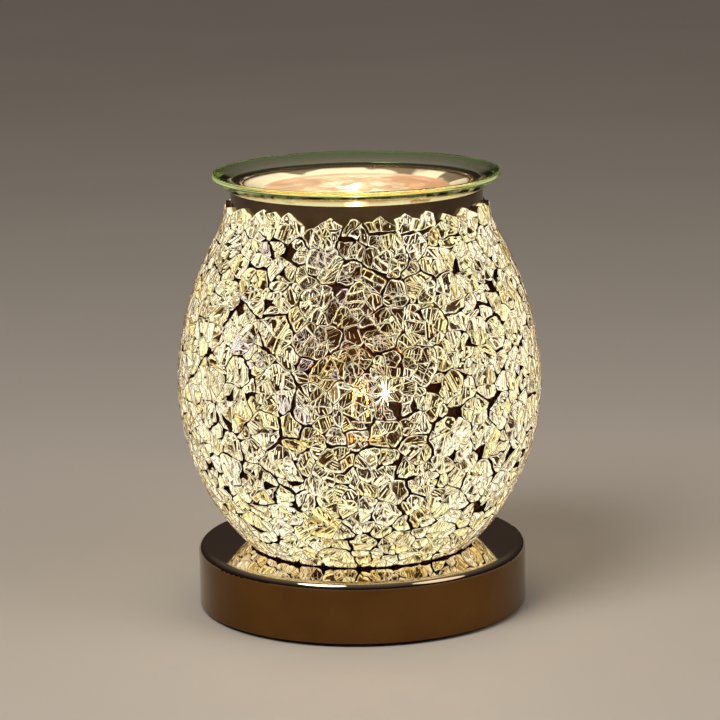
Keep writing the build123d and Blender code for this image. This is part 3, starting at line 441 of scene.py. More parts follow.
MATERIALS = {
    "chrome": chrome_material(),
    "steel": simple("zinc_plate", (0.50, 0.50, 0.51), (0.66, 0.66, 0.68), 90, 1.0, (0.28, 0.42), 0.1),
    "steel_black": simple("black_paint", (0.014, 0.014, 0.015), (0.026, 0.026, 0.028), 300, 0.0, (0.42, 0.58), 0.35, 0.00008),
    "screw_steel": simple("plated_screw", (0.52, 0.52, 0.54), (0.70, 0.70, 0.72), 400, 1.0, (0.22, 0.36), 0.1, 0.00004),
    "rubber": simple("foot_rubber", (0.020, 0.020, 0.021), (0.040, 0.040, 0.042), 600, 0.0, (0.62, 0.80), 0.4, 0.00008),
    "rubber_black": simple("bush_rubber", (0.012, 0.012, 0.013), (0.026, 0.026, 0.028), 500, 0.0, (0.45, 0.60), 0.25, 0.00006),
    "nylon": simple("natural_nylon", (0.74, 0.73, 0.68), (0.84, 0.83, 0.79), 180, 0.0, (0.38, 0.5), 0.15, 0.00006, subsurface=0.2),
    "plastic_white": simple("moulded_white", (0.72, 0.72, 0.70), (0.80, 0.80, 0.78), 140, 0.0, (0.40, 0.52), 0.2, 0.00005),
    "foam": simple("foam_tape", (0.55, 0.55, 0.52), (0.78, 0.78, 0.75), 1400, 0.0, (0.85, 0.95), 0.8, 0.0002),
    "circuit_board": simple("board_green", (0.03, 0.12, 0.04), (0.05, 0.18, 0.06), 260, 0.0, (0.25, 0.40), 0.15, 0.00005),
    "components": simple("component_black", (0.012, 0.012, 0.014), (0.05, 0.05, 0.055), 500, 0.0, (0.30, 0.48), 0.2, 0.00005),
    "lead_sleeve": simple("lead_silicone", (0.70, 0.70, 0.68), (0.82, 0.82, 0.80), 200, 0.0, (0.35, 0.5), 0.1, 0.00004),
    "glass_sleeve": simple("woven_sleeve", (0.58, 0.54, 0.46), (0.86, 0.83, 0.76), 2200, 0.0, (0.7, 0.85), 0.7, 0.0001),
    "brass": simple("turned_brass", (0.60, 0.42, 0.16), (0.74, 0.54, 0.24), 220, 1.0, (0.20, 0.34), 0.12, 0.00005, (1, 1, 6)),
    "silicone": simple("clear_silicone", (0.60, 0.58, 0.54), (0.74, 0.72, 0.68), 160, 0.0, (0.35, 0.5), 0.12, 0.00006, subsurface=0.3),
    "ceramic": simple("steatite", (0.76, 0.74, 0.69), (0.86, 0.84, 0.80), 240, 0.0, (0.30, 0.46), 0.2, 0.00005, coat=0.2),
    "bronze": simple("sprung_bronze", (0.50, 0.30, 0.14), (0.66, 0.42, 0.22), 260, 1.0, (0.24, 0.38), 0.1),
    "quartz": quartz_material(),
    "tungsten": simple("tungsten_wire", (0.34, 0.33, 0.31), (0.50, 0.49, 0.47), 900, 1.0, (0.30, 0.45), 0.2, 0.00003),
    "shade_glass": shade_glass_material(),
    "dish_glass": dish_glass_material(),
    "wax": wax_material(),
    "mosaic_glass": chip_glass_material(),
}
slot_of = {s["node"]: s["material_slot"] for s in frame["record"]["subparts"]}
for name, ob in nodes.items():
    ob.data.materials.clear()
    ob.data.materials.append(MATERIALS[slot_of[name]])
HOT = filament_material()
nodes["bulb_filament"].data.materials[0] = HOT
CHIP_WALL = chip_wall_material()
CHIP_GLASS = MATERIALS["mosaic_glass"]
CHIP_JOINT = chip_joint_material()
for m in (HOT, CHIP_WALL):
    m.cycles.emission_sampling = "NONE"


# ---------------------------------------------------------------- chips
def clip(poly, a, b, c):
    """Keeps the part of a convex polygon where a*u + b*v <= c."""
    out = []
    pu, pv = poly[-1]
    dp = a * pu + b * pv - c
    for u, v in poly:
        d = a * u + b * v - c
        if (dp < 0) != (d < 0):
            t = dp / (dp - d)
            out.append((pu + (u - pu) * t, pv + (v - pv) * t))
        if d < 0:
            out.append((u, v))
        pu, pv, dp = u, v, d
    return out


def tidy(poly, least=0.06):
    """Drops corners nearer than least to the one before."""
    out = []
    for p in poly:
        if not out or math.hypot(p[0] - out[-1][0], p[1] - out[-1][1]) > least:
            out.append(p)
    while len(out) > 1 and math.hypot(out[0][0] - out[-1][0], out[0][1] - out[-1][1]) <= least:
        out.pop()
    return out


def area_centre(poly):
    a = cu = cv = 0.0
    for i in range(len(poly)):
        u0, v0 = poly[i - 1]
        u1, v1 = poly[i]
        w = u0 * v1 - u1 * v0
        a += w
        cu += (u0 + u1) * w
        cv += (v0 + v1) * w
    if abs(a) < 1e-9:
        return 0.0, 0.0, 0.0
    return a / 2, cu / (3 * a), cv / (3 * a)


def inner_radius(poly, cu, cv):
    least = 1e9
    for i in range(len(poly)):
        u0, v0 = poly[i - 1]
        u1, v1 = poly[i]
        n = math.hypot(u1 - u0, v1 - v0)
        if n > 1e-9:
            least = min(least, ((u1 - u0) * (cv - v0) - (v1 - v0) * (cu - u0)) / n)
    return least


def cut_corners(poly, rng, chance, low, high):
    """Snips corners off a convex polygon."""
    out = []
    n = len(poly)
    for i in range(n):
        p, q, r = poly[i - 1], poly[i], poly[(i + 1) % n]
        la = math.hypot(p[0] - q[0], p[1] - q[1])
        lb = math.hypot(r[0] - q[0], r[1] - q[1])
        if rng.random() < chance:
            ca = min(rng.uniform(low, high), 0.42 * la)
            cb = min(rng.uniform(low, high), 0.42 * lb)
            out.append((q[0] + (p[0] - q[0]) * ca / la, q[1] + (p[1] - q[1]) * ca / la))
            out.append((q[0] + (r[0] - q[0]) * cb / lb, q[1] + (r[1] - q[1]) * cb / lb))
        else:
            out.append(q)
    return out


def scatter_seeds(rng):
    """Places chip seeds on the skin, largest first, each with its own radius. Rows of azimuth, arc length, radius."""
    s_end = float(np.interp(MOSAIC_TOP - 4.3, SKIN[:, 1], SKIN_S))
    grid = np.linspace(0.0, s_end, 600)
    weight = np.interp(grid, SKIN_S, SKIN[:, 0])
    total = np.cumsum(weight)
    total /= total[-1]
    place, seeds = np.zeros((0, 3)), []
    radii = np.zeros(0)
    for radius, tries in ((8.6, 240), (7.2, 500), (5.8, 1500), (4.6, 4200), (3.6, 7000)):
        for _ in range(tries):
            s = float(np.interp(rng.random(), total, grid))
            phi = rng.uniform(-math.pi, math.pi)
            own = radius * rng.uniform(0.85, 1.15)
            r, z, _, _ = on_skin(s)
            p = np.array((r * math.sin(phi), -r * math.cos(phi), z))
            if len(place) and np.any(np.sum((place - p) ** 2, 1) < ((radii + own) * 0.80) ** 2):
                continue
            place = np.vstack([place, p])
            radii = np.append(radii, own)
            seeds.append((phi, s, own))
    return seeds, place, radii


def chip_outlines(rng):
    """Each chip's outline in the plane that touches the skin at its seed, as (seed frame, polygon)."""
    seeds, place, radii = scatter_seeds(rng)
    s_low = 0.15
    s_high = float(np.interp(MOSAIC_TOP - 0.15, SKIN[:, 1], SKIN_S))
    gaps, chips = {}, []
    for i, (phi, s, own) in enumerate(seeds):
        if s > s_high + 1.5 * own:
            continue  # only holds a place above the ragged edge
        p, e1, e2, n = skin_frame(phi, s)
        delta = place - p
        dist = np.sqrt(np.sum(delta**2, 1))
        poly = [(-18.0, -18.0), (18.0, -18.0), (18.0, 18.0), (-18.0, 18.0)]
        for j in np.argsort(dist)[1:26]:
            d = float(dist[j])
            key = (min(i, j), max(i, j))
            if key not in gaps:
                gaps[key] = rng.choice((0.18, 0.24, 0.32, 0.5, 0.8, 1.3))
            nd = delta[j] / d
            a, b = float(nd @ e1), float(nd @ e2)
            length = math.hypot(a, b)
            if length < 1e-6:
                continue
            c = (d * d + own * own - radii[j] ** 2) / (2 * d)
            poly = clip(poly, a / length, b / length, (c - gaps[key] / 2) / length)
            if len(poly) < 3:
                break
        if len(poly) < 3:
            continue
        poly = clip(poly, 0, -1, s - s_low)
        if s > s_high - 3.0 * own and max(v for u, v in poly or [(0, 0)]) > s_high - s - 3.5 and len(poly) >= 3:
            # the ragged upper edge: each chip there ends in a gable of its own
            peak_u, peak_v = rng.uniform(-0.5, 0.5) * own, s_high - s - abs(rng.gauss(0, 0.9)) - 2.6 * abs(math.sin(phi)) ** 6
            peak_v = max(peak_v, 1.2)
            for lean in (rng.uniform(0.20, 0.75), -rng.uniform(0.20, 0.75)):
                if len(poly) >= 3:
                    poly = clip(poly, math.sin(lean), math.cos(lean), math.sin(lean) * peak_u + math.cos(lean) * peak_v)
        poly = tidy(poly, 0.3)
        if len(poly) < 3 or area_centre(poly)[0] < 3.0:
            continue
        chips.append(((phi, s, p, e1, e2), poly))
    return chips


def crack(poly, rng, limit):
    """Breaks a chip by straight cracks, some of which gape at one end, until its shards are small enough."""
    area, cu, cv = area_centre(poly)
    if area < limit:
        return [poly]
    # across its longer way, mostly
    far = max(poly, key=lambda p: (p[0] - cu) ** 2 + (p[1] - cv) ** 2)
    turn = math.atan2(far[1] - cv, far[0] - cu) + rng.gauss(0, 0.55)
    a, b = math.cos(turn), math.sin(turn)
    reach = math.sqrt(area / math.pi)
    pu, pv = cu + rng.gauss(0, 0.22) * reach, cv + rng.gauss(0, 0.22) * reach
    gap = rng.choice((0.12, 0.14, 0.18, 0.26, 0.5))
    gape = rng.choice((0.0, 0.0, 0.03, -0.03, 0.06, -0.06, 0.11, -0.11))
    # a gaping crack pivots about a point near one edge of the chip
    pu, pv = pu - math.copysign(0.9 * reach, gape) * b * (gape != 0), pv + math.copysign(0.9 * reach, gape) * a * (gape != 0)
    a1, b1 = math.cos(turn + abs(gape)), math.sin(turn + abs(gape))
    a2, b2 = math.cos(turn - abs(gape)), math.sin(turn - abs(gape))
    if gape < 0:
        a1, b1, a2, b2 = a2, b2, a1, b1
    out = []
    for half in (clip(poly, a1, b1, a1 * pu + b1 * pv - gap / 2), clip(poly, -a2, -b2, -a2 * pu - b2 * pv - gap / 2)):
        half = tidy(half, 0.15) if len(half) >= 3 else []
        if len(half) >= 3 and area_centre(half)[0] > 1.6:
            out += crack(half, rng, limit * rng.uniform(0.7, 1.5))
    return out


def grain_of(poly, rng, turn, long_grain):
    """Cells that a shard has cracked into, as convex polygons: blocky ones, or long ones side by side."""
    _, cu, cv = area_centre(poly)
    if long_grain:
        wide, tall = rng.uniform(2.6, 3.6), rng.uniform(5.0, 8.5)
    else:
        wide = rng.uniform(3.8, 5.9)
        tall = wide * rng.uniform(0.9, 1.4)
    ct, st = math.cos(turn), math.sin(turn)

    def there(p):
        u, v = p[0] - cu, p[1] - cv
        return ((u * ct + v * st) / wide, (-u * st + v * ct) / tall)

    def back(p):
        x, y = p[0] * wide, p[1] * tall
        return (x * ct - y * st + cu, x * st + y * ct + cv)

    shape = [there(p) for p in poly]
    xs, ys = [p[0] for p in shape], [p[1] for p in shape]
    edges = [(shape[i - 1], shape[i]) for i in range(len(shape))]
    spots = []
    y = min(ys) + rng.uniform(0.1, 0.6)
    row = 0
    while y < max(ys):
        x = min(xs) + rng.uniform(0.0, 0.6) + 0.5 * (row % 2)
        while x < max(xs):
            px, py = x + rng.uniform(-0.36, 0.36), y + rng.uniform(-0.36, 0.36)
            if all((q[0] - p[0]) * (py - p[1]) - (q[1] - p[1]) * (px - p[0]) > 0 for p, q in edges):
                spots.append((px, py))
            x += rng.uniform(0.85, 1.2)
        y += rng.uniform(0.8, 1.1)
        row += 1
    if len(spots) < 2:
        return [poly]
    cells = []
    for i, (px, py) in enumerate(spots):
        cell = shape
        near = sorted(((qx - px) ** 2 + (qy - py) ** 2, qx, qy) for k, (qx, qy) in enumerate(spots) if k != i)
        for d2, qx, qy in near[:14]:
            if d2 > 9.0:
                break
            d = math.sqrt(d2)
            a, b = (qx - px) / d, (qy - py) / d
            cell = clip(cell, a, b, a * (px + qx) / 2 + b * (py + qy) / 2)
            if len(cell) < 3:
                break
        if len(cell) >= 3:
            cells.append([back(p) for p in cell])
    return cells


def chord(poly, a, b, c):
    """Where the line a*u + b*v = c crosses a convex polygon, or None."""
    hits = []
    pu, pv = poly[-1]
    dp = a * pu + b * pv - c
    for u, v in poly:
        d = a * u + b * v - c
        if (dp < 0) != (d < 0):
            t = dp / (dp - d)
            hits.append((pu + (u - pu) * t, pv + (v - pv) * t))
        pu, pv, dp = u, v, d
    return hits if len(hits) == 2 else None


DEEP = 2.74
HUES = {
    "cream": (1.0, 1.0, 1.0),
    "pale": (1.0, 1.02, 1.12),
    "straw": (1.0, 0.99, 0.84),
    "gold": (1.02, 0.93, 0.66),
    "violet_reflection": (0.88, 0.87, 1.12),
    "rose": (1.0, 0.95, 0.98),
    "spark_orange_glow": (1.15, 0.50, 0.18),
}


def glow(level, hue):
    """What a face gives off: cream where it is bright, going tan and brown as it dims."""
    k = HUES[hue]
    level = min(max(level, 0.0), 1.16)
    return (level * k[0], 0.905 * level**1.25 * k[1], 0.63 * level**1.75 * k[2])


def subdivide(poly, most):
    """Puts more corners along the sides of a polygon, so that it can follow the waviness of the cracks."""
    out = []
    for i in range(len(poly)):
        (u0, v0), (u1, v1) = poly[i - 1], poly[i]
        n = max(1, int(math.ceil(math.hypot(u1 - u0, v1 - v0) / most)))
        out += [(u0 + (u1 - u0) * k / n, v0 + (v1 - v0) * k / n) for k in range(n)]
    return out


SPARKS = [(0.126, 104.2), (1.90, 99.0), (-1.80, 103.0), (3.00, 105.0)]


def spark_near(p):
    """How near a point is to one of the places where a chip catches the lamp, from 0 to 1, and its distance."""
    best = 1e9
    for phi, z in SPARKS:
        r = float(np.interp(z, SKIN[:, 1], SKIN[:, 0]))
        best = min(best, math.dist(p, (r * math.sin(phi), -r * math.cos(phi), z)))
    return best


def build_mosaic(sectors=8):
    rng = random.Random(7562)
    chips = chip_outlines(rng)
    buckets = [{"u": [], "v": [], "w": [], "grain": [], "home": [], "frames": [], "faces": [], "mats": [], "cols": []} for _ in range(sectors)]
    comb = [1.0, 0.0, 1.0, 0.0]
    s_edge = float(np.interp(MOSAIC_TOP - 0.15, SKIN[:, 1], SKIN_S))
    shard_count = 0
    for (phi, s, p, e1, e2), outline in chips:
        b = buckets[int((phi + math.pi) / (2 * math.pi) * sectors) % sectors]
        home = len(b["frames"])
        b["frames"].append((p, e1, e2, s))
        z = float(p[2])
        low = max(0.0, 1 - (z - 28) / 26)

        def point(u, v, w):
            b["u"].append(u)
            b["v"].append(v)
            b["w"].append(w)
            b["grain"].append(((u * comb[0] + v * comb[1]) / comb[2], (v * comb[0] - u * comb[1]) / comb[2] + 31.7 * home, comb[3]))
            b["home"].append(home)
            return len(b["u"]) - 1

        def face(corners, mat, colours):
            b["faces"].append(tuple(corners))
            b["mats"].append(mat)
            b["cols"] += colours

        for shard in crack(outline, rng, rng.uniform(20, 70)):
            shard = tidy(cut_corners(shard, rng, 0.42 if s + max(v for u, v in shard) < s_edge - 5.0 else 0.08, 0.4, 2.4), 0.15)
            if len(shard) < 3:
                continue
            area, ccu, ccv = area_centre(shard)
            if area < 2.4 or (area < 18 and s + ccv < s_edge - 7.0 and rng.random() < 0.19):
                continue
            shard_count += 1
            shard = subdivide(shard, 1.3)
            reach = math.sqrt(area / math.pi) + 0.5
            centre = p + e1 * ccu + e2 * ccv
            spark = spark_near(centre)
            # the hue of the whole shard
            x = rng.random()
            if 0.1 < phi < 0.75 and 128 < z < 168:
                x *= 0.75
            if x < 0.03 + 0.20 * low:
                hue = "gold"
            elif x < 0.24 + 0.40 * low:
                hue = "straw"
            elif x < 0.28 + 0.40 * low:
                hue = "pale"
            # painted reflection: a violet window light on some shards left of the front, 100 to 158 mm up
            elif x < 0.28 + 0.40 * low + (0.10 if -0.8 < phi < -0.1 and 100 < z < 158 else 0):
                hue = "violet_reflection"
            elif x < 0.32 + 0.40 * low:
                hue = "rose"
            else:
                hue = "cream"
            level = rng.choice((0.98, 1.06, 1.14, 1.24)) * (1.0 - 0.08 * low)
            tilt = (rng.gauss(0, 0.03), rng.gauss(0, 0.03))
            turn = rng.gauss(0.0, 0.5)
            # dark joint that holds the shard: a thin collar round it
            n = len(shard)
            rin = inner_radius(shard, ccu, ccv)
            ring = []
            for grow, w in ((0.07, DEEP), (0.07, 0.50), (0.02, 0.44), (0.02, DEEP)):
                if s + ccv > s_edge - 6.0:
                    break
                k = 1 + grow / max(rin, 0.5)
                ring.append([point(ccu + (u - ccu) * k, ccv + (v - ccv) * k, w) for u, v in shard])
            lit_side = s + ccv > s_edge - 6.0  # nothing stands against the chips at the upper edge, so their sides glow
            for q in range(0 if lit_side else 4):
                one, two = ring[q], ring[(q + 1) % 4]
                for i in range(n):
                    j = (i + 1) % n
                    face((one[i], one[j], two[j], two[i]), 2, [(0, 0, 0, 0)] * 4)
            long_grain = rng.random() < 0.35
            for cell in grain_of(shard, rng, turn, long_grain):
                cell = subdivide(tidy(cell, 0.12), 2.4)
                if len(cell) < 3:
                    continue
                a, cu, cv = area_centre(cell)
                if a < 0.3:
                    continue
                inr = inner_radius(cell, cu, cv)
                if inr < 0.12:
                    continue
                n = len(cell)
                kb = 1 - min(0.02, 0.2 * inr) / inr
                away = math.hypot(cu - ccu, cv - ccv) / reach
                top = 0.05 + 0.14 * away * away + rng.uniform(0, 0.06)
                tu, tv = tilt[0] + rng.gauss(0, 0.03), tilt[1] + rng.gauss(0, 0.03)
                own_hue = hue if rng.random() < 0.9 else rng.choice(("cream", "straw", "pale", "gold"))
                here = p + e1 * cu + e2 * cv
                near = spark_near(here) if spark < 30 else 99.0
                # painted light: cells near a spark glow brighter, most at the spark
                spark_light_boost = 1.0
                if near < 16:
                    spark_light_boost = 1.0 + 0.35 * (1 - near / 16)

                def depth(u, v):
                    return max(0.03, top + tu * (u - ccu) + tv * (v - ccv))

                aim = turn + rng.gauss(0, 0.22)
                comb[:] = (math.cos(aim), math.sin(aim), rng.uniform(0.85, 1.35), rng.random())
                lows = [point(cu + (u - cu) * kb, cv + (v - cv) * kb, DEEP) for u, v in cell]
                crown, rim = [], []
                aside = abs(math.sin(phi))
                # painted shade: between 112 and 160 mm up the glowing rims are slimmest in front and behind and widest
                # at the diagonals, so front and back look darker
                slim = 0.45 if aside < 0.33 else 0.85 if aside < 0.80 else 0.60
                width = rng.uniform(0.25, 0.85) * (slim if 112 < here[2] < 160 else 1.0)
                far = sum(math.hypot(u - cu, v - cv) for u, v in cell) / len(cell)
                for u, v in cell:
                    k = 1 - min(rng.uniform(0.05, 0.20), 0.3 * inr) / inr
                    crown.append((cu + (u - cu) * k, cv + (v - cv) * k))
                    k -= min(width * rng.uniform(0.5, 1.6), 0.60 * inr) / inr
                    k *= min(1.0, (far / max(math.hypot(u - cu, v - cv), 0.1)) ** 0.75)
                    rim.append((cu + (u - cu) * k, cv + (v - cv) * k))
                tops = [point(u, v, depth(u, v)) for u, v in crown]
                inner = [point(u, v, depth(u, v) + 0.03) for u, v in rim]
                cell_level = level * spark_light_boost * rng.uniform(0.88, 1.12)
                for i in range(n):
                    j = (i + 1) % n
                    x = rng.random()
                    lv = (rng.uniform(0.85, 1.2) if x < 0.80 else rng.uniform(0.35, 0.75)) * cell_level
                    # painted light: some walls near a spark glow orange and gold, lit by its glint
                    c = glow(lv, own_hue if near > 12 or rng.random() > 0.30 else rng.choice(("spark_orange_glow", "gold")))
                    face((lows[i], lows[j], tops[j], tops[i]), 0, [(*c, 1), (*c, 1), (*c, 0), (*c, 0)])
                    c = glow(cell_level * rng.uniform(0.85, 1.05), own_hue)
                    face((tops[i], tops[j], inner[j], inner[i]), 1, [(*c, 0), (*c, 0), (*c, 1), (*c, 1)])
                c = glow(cell_level, own_hue)
                face(inner, 1, [(*c, 1)] * n)
                # painted light: towards the foot more cell floors glow, brighter near the bottom
                x = rng.random()
                if x < 0.30 * low:
                    face(lows[::-1], 0, [(*glow(cell_level * rng.uniform(0.45, 0.9), own_hue), 0.4)] * n)
                elif x < 0.03 + 0.45 * low:
                    face(lows[::-1], 0, [(*glow(cell_level * rng.uniform(0.08, 0.3), own_hue), 0.4)] * n)
                else:
                    face(lows[::-1], 1, [(*c, 1)] * n)

                # blades: flat cracks that stand inside the cell, unseen from straight ahead
                lean = turn + rng.gauss(0, 0.2) if rng.random() < 0.8 else rng.uniform(0, math.pi)
                ba, bb = math.cos(lean), math.sin(lean)
                span = [ba * u + bb * v for u, v in crown]
                step = rng.uniform(0.8, 1.45)
                at = min(span) + step * rng.uniform(0.45, 0.9)
                slant = rng.gauss(0, 0.06)
                inside = [(cu + (u - cu) * 0.975, cv + (v - cv) * 0.975) for u, v in crown]
                while at < max(span) - 0.3:
                    ends = chord(inside, ba, bb, at)
                    at += step * rng.uniform(0.7, 1.35)
                    if not ends or math.dist(*ends) < 0.8 or rng.random() < 0.12:
                        continue
                    (u0, v0), (u1, v1) = ends
                    if (u1 - u0) * -bb + (v1 - v0) * ba < 0:
                        u0, v0, u1, v1 = u1, v1, u0, v0
                    cut0, cut1 = (rng.choice((0.0, 0.0, 0.25, 0.4)), rng.choice((0.0, 0.0, 0.25, 0.4)))
                    u0, v0, u1, v1 = u0 + (u1 - u0) * cut0, v0 + (v1 - v0) * cut0, u1 - (u1 - u0) * cut1, v1 - (v1 - v0) * cut1
                    half = rng.choice((0.06, 0.09, 0.12))
                    d0 = max(depth(u0, v0), depth(u1, v1)) + rng.uniform(0.04, 0.16)
                    d1 = rng.uniform(0.75, 1.4) * (0.85 if slim < 0.5 else 1.3) if 112 < here[2] < 160 else rng.uniform(1.0, 1.9)
                    boxes = []
                    for w, off in ((d1, slant), (d0, 0.0)):
                        boxes.append([
                            point(u0 + ba * (off - half), v0 + bb * (off - half), w),
                            point(u0 + ba * (off + half), v0 + bb * (off + half), w),
                            point(u1 + ba * (off + half), v1 + bb * (off + half), w),
                            point(u1 + ba * (off - half), v1 + bb * (off - half), w),
                        ])
                    c = glow((rng.uniform(0.85, 1.2) if rng.random() < 0.88 else rng.uniform(0.3, 0.7)) * cell_level, own_hue)
                    lo_ring, hi_ring = boxes
                    for i in range(4):
                        j = (i + 1) % 4
                        face((lo_ring[i], lo_ring[j], hi_ring[j], hi_ring[i]), 0, [(*c, 1), (*c, 1), (*c, 0.12), (*c, 0.12)])
                    face(hi_ring, 0, [(*c, 0.0 if rng.random() < 0.8 else 0.3)] * 4)
                    face(lo_ring[::-1], 0, [(*c, 1)] * 4)
    # a small facet at each spark, which throws the lamp's light straight out
    for phi, z in SPARKS:
        b = buckets[int((phi + math.pi) / (2 * math.pi) * sectors) % sectors]
        s = float(np.interp(z, SKIN[:, 1], SKIN_S))
        p, e1, e2, _ = skin_frame(phi, s)
        home = len(b["frames"])
        b["frames"].append((p, e1, e2, s))
        # (centre, half length, half width, turn, power at the middle or near end, power at the far end)
        bits = [((0.0, 0.0), 0.62, 0.62, 0.4, 30.0, 30.0)]
        for k in range(11):
            turn = 2 * math.pi * k / 11 + rng.gauss(0, 0.16)
            reach = rng.choice((1.2, 1.7, 2.4, 3.2))
            bits.append((((0.75 + reach) * math.cos(turn), (0.75 + reach) * math.sin(turn)), reach, 0.08, turn, 7.0, 0.8))
        for k in range(7):
            bits.append(((rng.gauss(0, 4.0), rng.gauss(0, 4.0)), rng.uniform(0.2, 0.4), rng.uniform(0.12, 0.3), rng.uniform(0, 3.1), rng.uniform(2.0, 5.0), 2.0))
        for (cu, cv), long, wide, turn, near_power, far_power in bits:
            start = len(b["u"])
            ct, st = math.cos(turn), math.sin(turn)
            for w in (0.30, 0.012):
                for x, y in ((-long, -wide), (long, -wide * (1.0 if long == wide else 0.2)), (long, wide * (1.0 if long == wide else 0.2)), (-long, wide)):
                    b["u"].append(cu + x * ct - y * st)
                    b["v"].append(cv + x * st + y * ct)
                    b["w"].append(w)
                    b["grain"].append((0.0, 0.0, 0.0))
                    b["home"].append(home)
            shade = [(k * 1.0, k * 0.82, k * 0.50, 0.3) for k in (near_power, far_power, far_power, near_power)]
            lo, hi = list(range(start, start + 4)), list(range(start + 4, start + 8))
            for i in range(4):
                j = (i + 1) % 4
                b["faces"].append((lo[i], lo[j], hi[j], hi[i]))
                b["cols"] += [shade[i], shade[j], shade[j], shade[i]]
            b["faces"] += [tuple(hi), tuple(lo[::-1])]
            b["cols"] += shade + shade[::-1]
            b["mats"] += [0] * 6
    made = [mesh_of(f"crackle_chips_{k + 1}", b) for k, b in enumerate(buckets)]
    return made, shard_count


def mesh_of(name, b):
    """One sector of chips as a mesh of closed cells, wrapped from their flat frames onto the skin."""
    home = np.array(b["home"])
    P, E1, E2 = (np.array([f[k] for f in b["frames"]])[home] for k in range(3))
    S0 = np.array([f[3] for f in b["frames"]])[home]
    u, v, w = (np.array(b[k]) for k in "uvw")
    Q = P + E1 * u[:, None] + E2 * v[:, None]
    phi = np.arctan2(Q[:, 0], -Q[:, 1])
    rho, z = np.hypot(Q[:, 0], Q[:, 1]), Q[:, 2]
    s = S0 + v
    for _ in range(3):
        r, zz, nr, nz = on_skin(s)
        s = s + (rho - r) * (-nz) + (z - zz) * nr
    # cracks are never quite straight: a smooth waviness carries every corner along the skin
    r, zz, nr, nz = on_skin(s)
    place = np.stack([r * np.sin(phi), -r * np.cos(phi), zz], 1)
    waves = random.Random(99)
    drift = [0.0, 0.0]
    for length in (2.6, 3.1, 3.7, 4.6, 5.6, 7.0):
        for k in range(2):
            for _ in range(2):
                way = np.array([waves.gauss(0, 1) for _ in range(3)])
                way *= 2 * math.pi / length / np.linalg.norm(way)
                drift[k] = drift[k] + 0.030 * length * np.sin(place @ way + waves.uniform(0, 6.28))
    phi = phi + drift[0] / r
    s = s + drift[1]
    r, zz, nr, nz = on_skin(s)
    # the chips thin out towards their ragged upper edge
    edge = float(np.interp(MOSAIC_TOP, SKIN[:, 1], SKIN_S))
    thin = np.clip((s - (edge - 4.5)) / 4.5, 0.0, 1.0) ** 1.6
    w = w + (DEEP - w) * 0.6 * thin
    rr, zf = r - w * nr, zz - w * nz
    zf = np.clip(zf, 26.84, MOSAIC_TOP - 0.05)
    co = np.stack([rr * np.sin(phi), -rr * np.cos(phi), zf], 1) * MM
    me = bpy.data.meshes.new(name)
    me.from_pydata(co.tolist(), [], b["faces"])
    for m in (CHIP_WALL, CHIP_GLASS, CHIP_JOINT):
        me.materials.append(m)
    me.polygons.foreach_set("material_index", b["mats"])
    layer = me.color_attributes.new("tint", "FLOAT_COLOR", "CORNER")
    flat = np.clip(np.array(b["cols"], np.float32), 0, 80)
    layer.data.foreach_set("color", flat.ravel())
    me.color_attributes.active_color = layer
    layer = me.attributes.new("grain", "FLOAT_VECTOR", "POINT")
    layer.data.foreach_set("vector", np.array(b["grain"], np.float32).ravel())
    me.update()
    ob = bpy.data.objects.new(name, me)
    scene.collection.objects.link(ob)
    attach(ob, "body")
    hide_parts("crackle_mosaic")
    return ob


sectors, chip_count = build_mosaic()
print("chips", chip_count, "faces", sum(len(o.data.polygons) for o in sectors), "triangles", sum(sum(len(p.vertices) - 2 for p in o.data.polygons) for o in sectors))


# ---------------------------------------------------------------- wax
def rounded(points, radii, step=0.5):
    """A polyline with its inner corners rounded to the given radii."""
    out = [points[0]]
    for i in range(1, len(points) - 1):
        p, q, r = (np.array(points[k], float) for k in (i - 1, i, i + 1))
        a, b = (p - q) / np.linalg.norm(p - q), (r - q) / np.linalg.norm(r - q)
        half = math.acos(max(-1.0, min(1.0, float(a @ b)))) / 2
        cut = radii[i - 1] / math.tan(half)
        c = q + (a + b) / np.linalg.norm(a + b) * radii[i - 1] / math.sin(half)
        p0, p1 = q + a * cut, q + b * cut
        t0, t1 = math.atan2(*(p0 - c)[::-1]), math.atan2(*(p1 - c)[::-1])
        d = (t1 - t0 + math.pi) % (2 * math.pi) - math.pi
        n = max(2, int(abs(d) * radii[i - 1] / step))
        out += [tuple(c + radii[i - 1] * np.array((math.cos(t0 + d * k / n), math.sin(t0 + d * k / n)))) for k in range(n + 1)]
    out.append(points[-1])
    return out


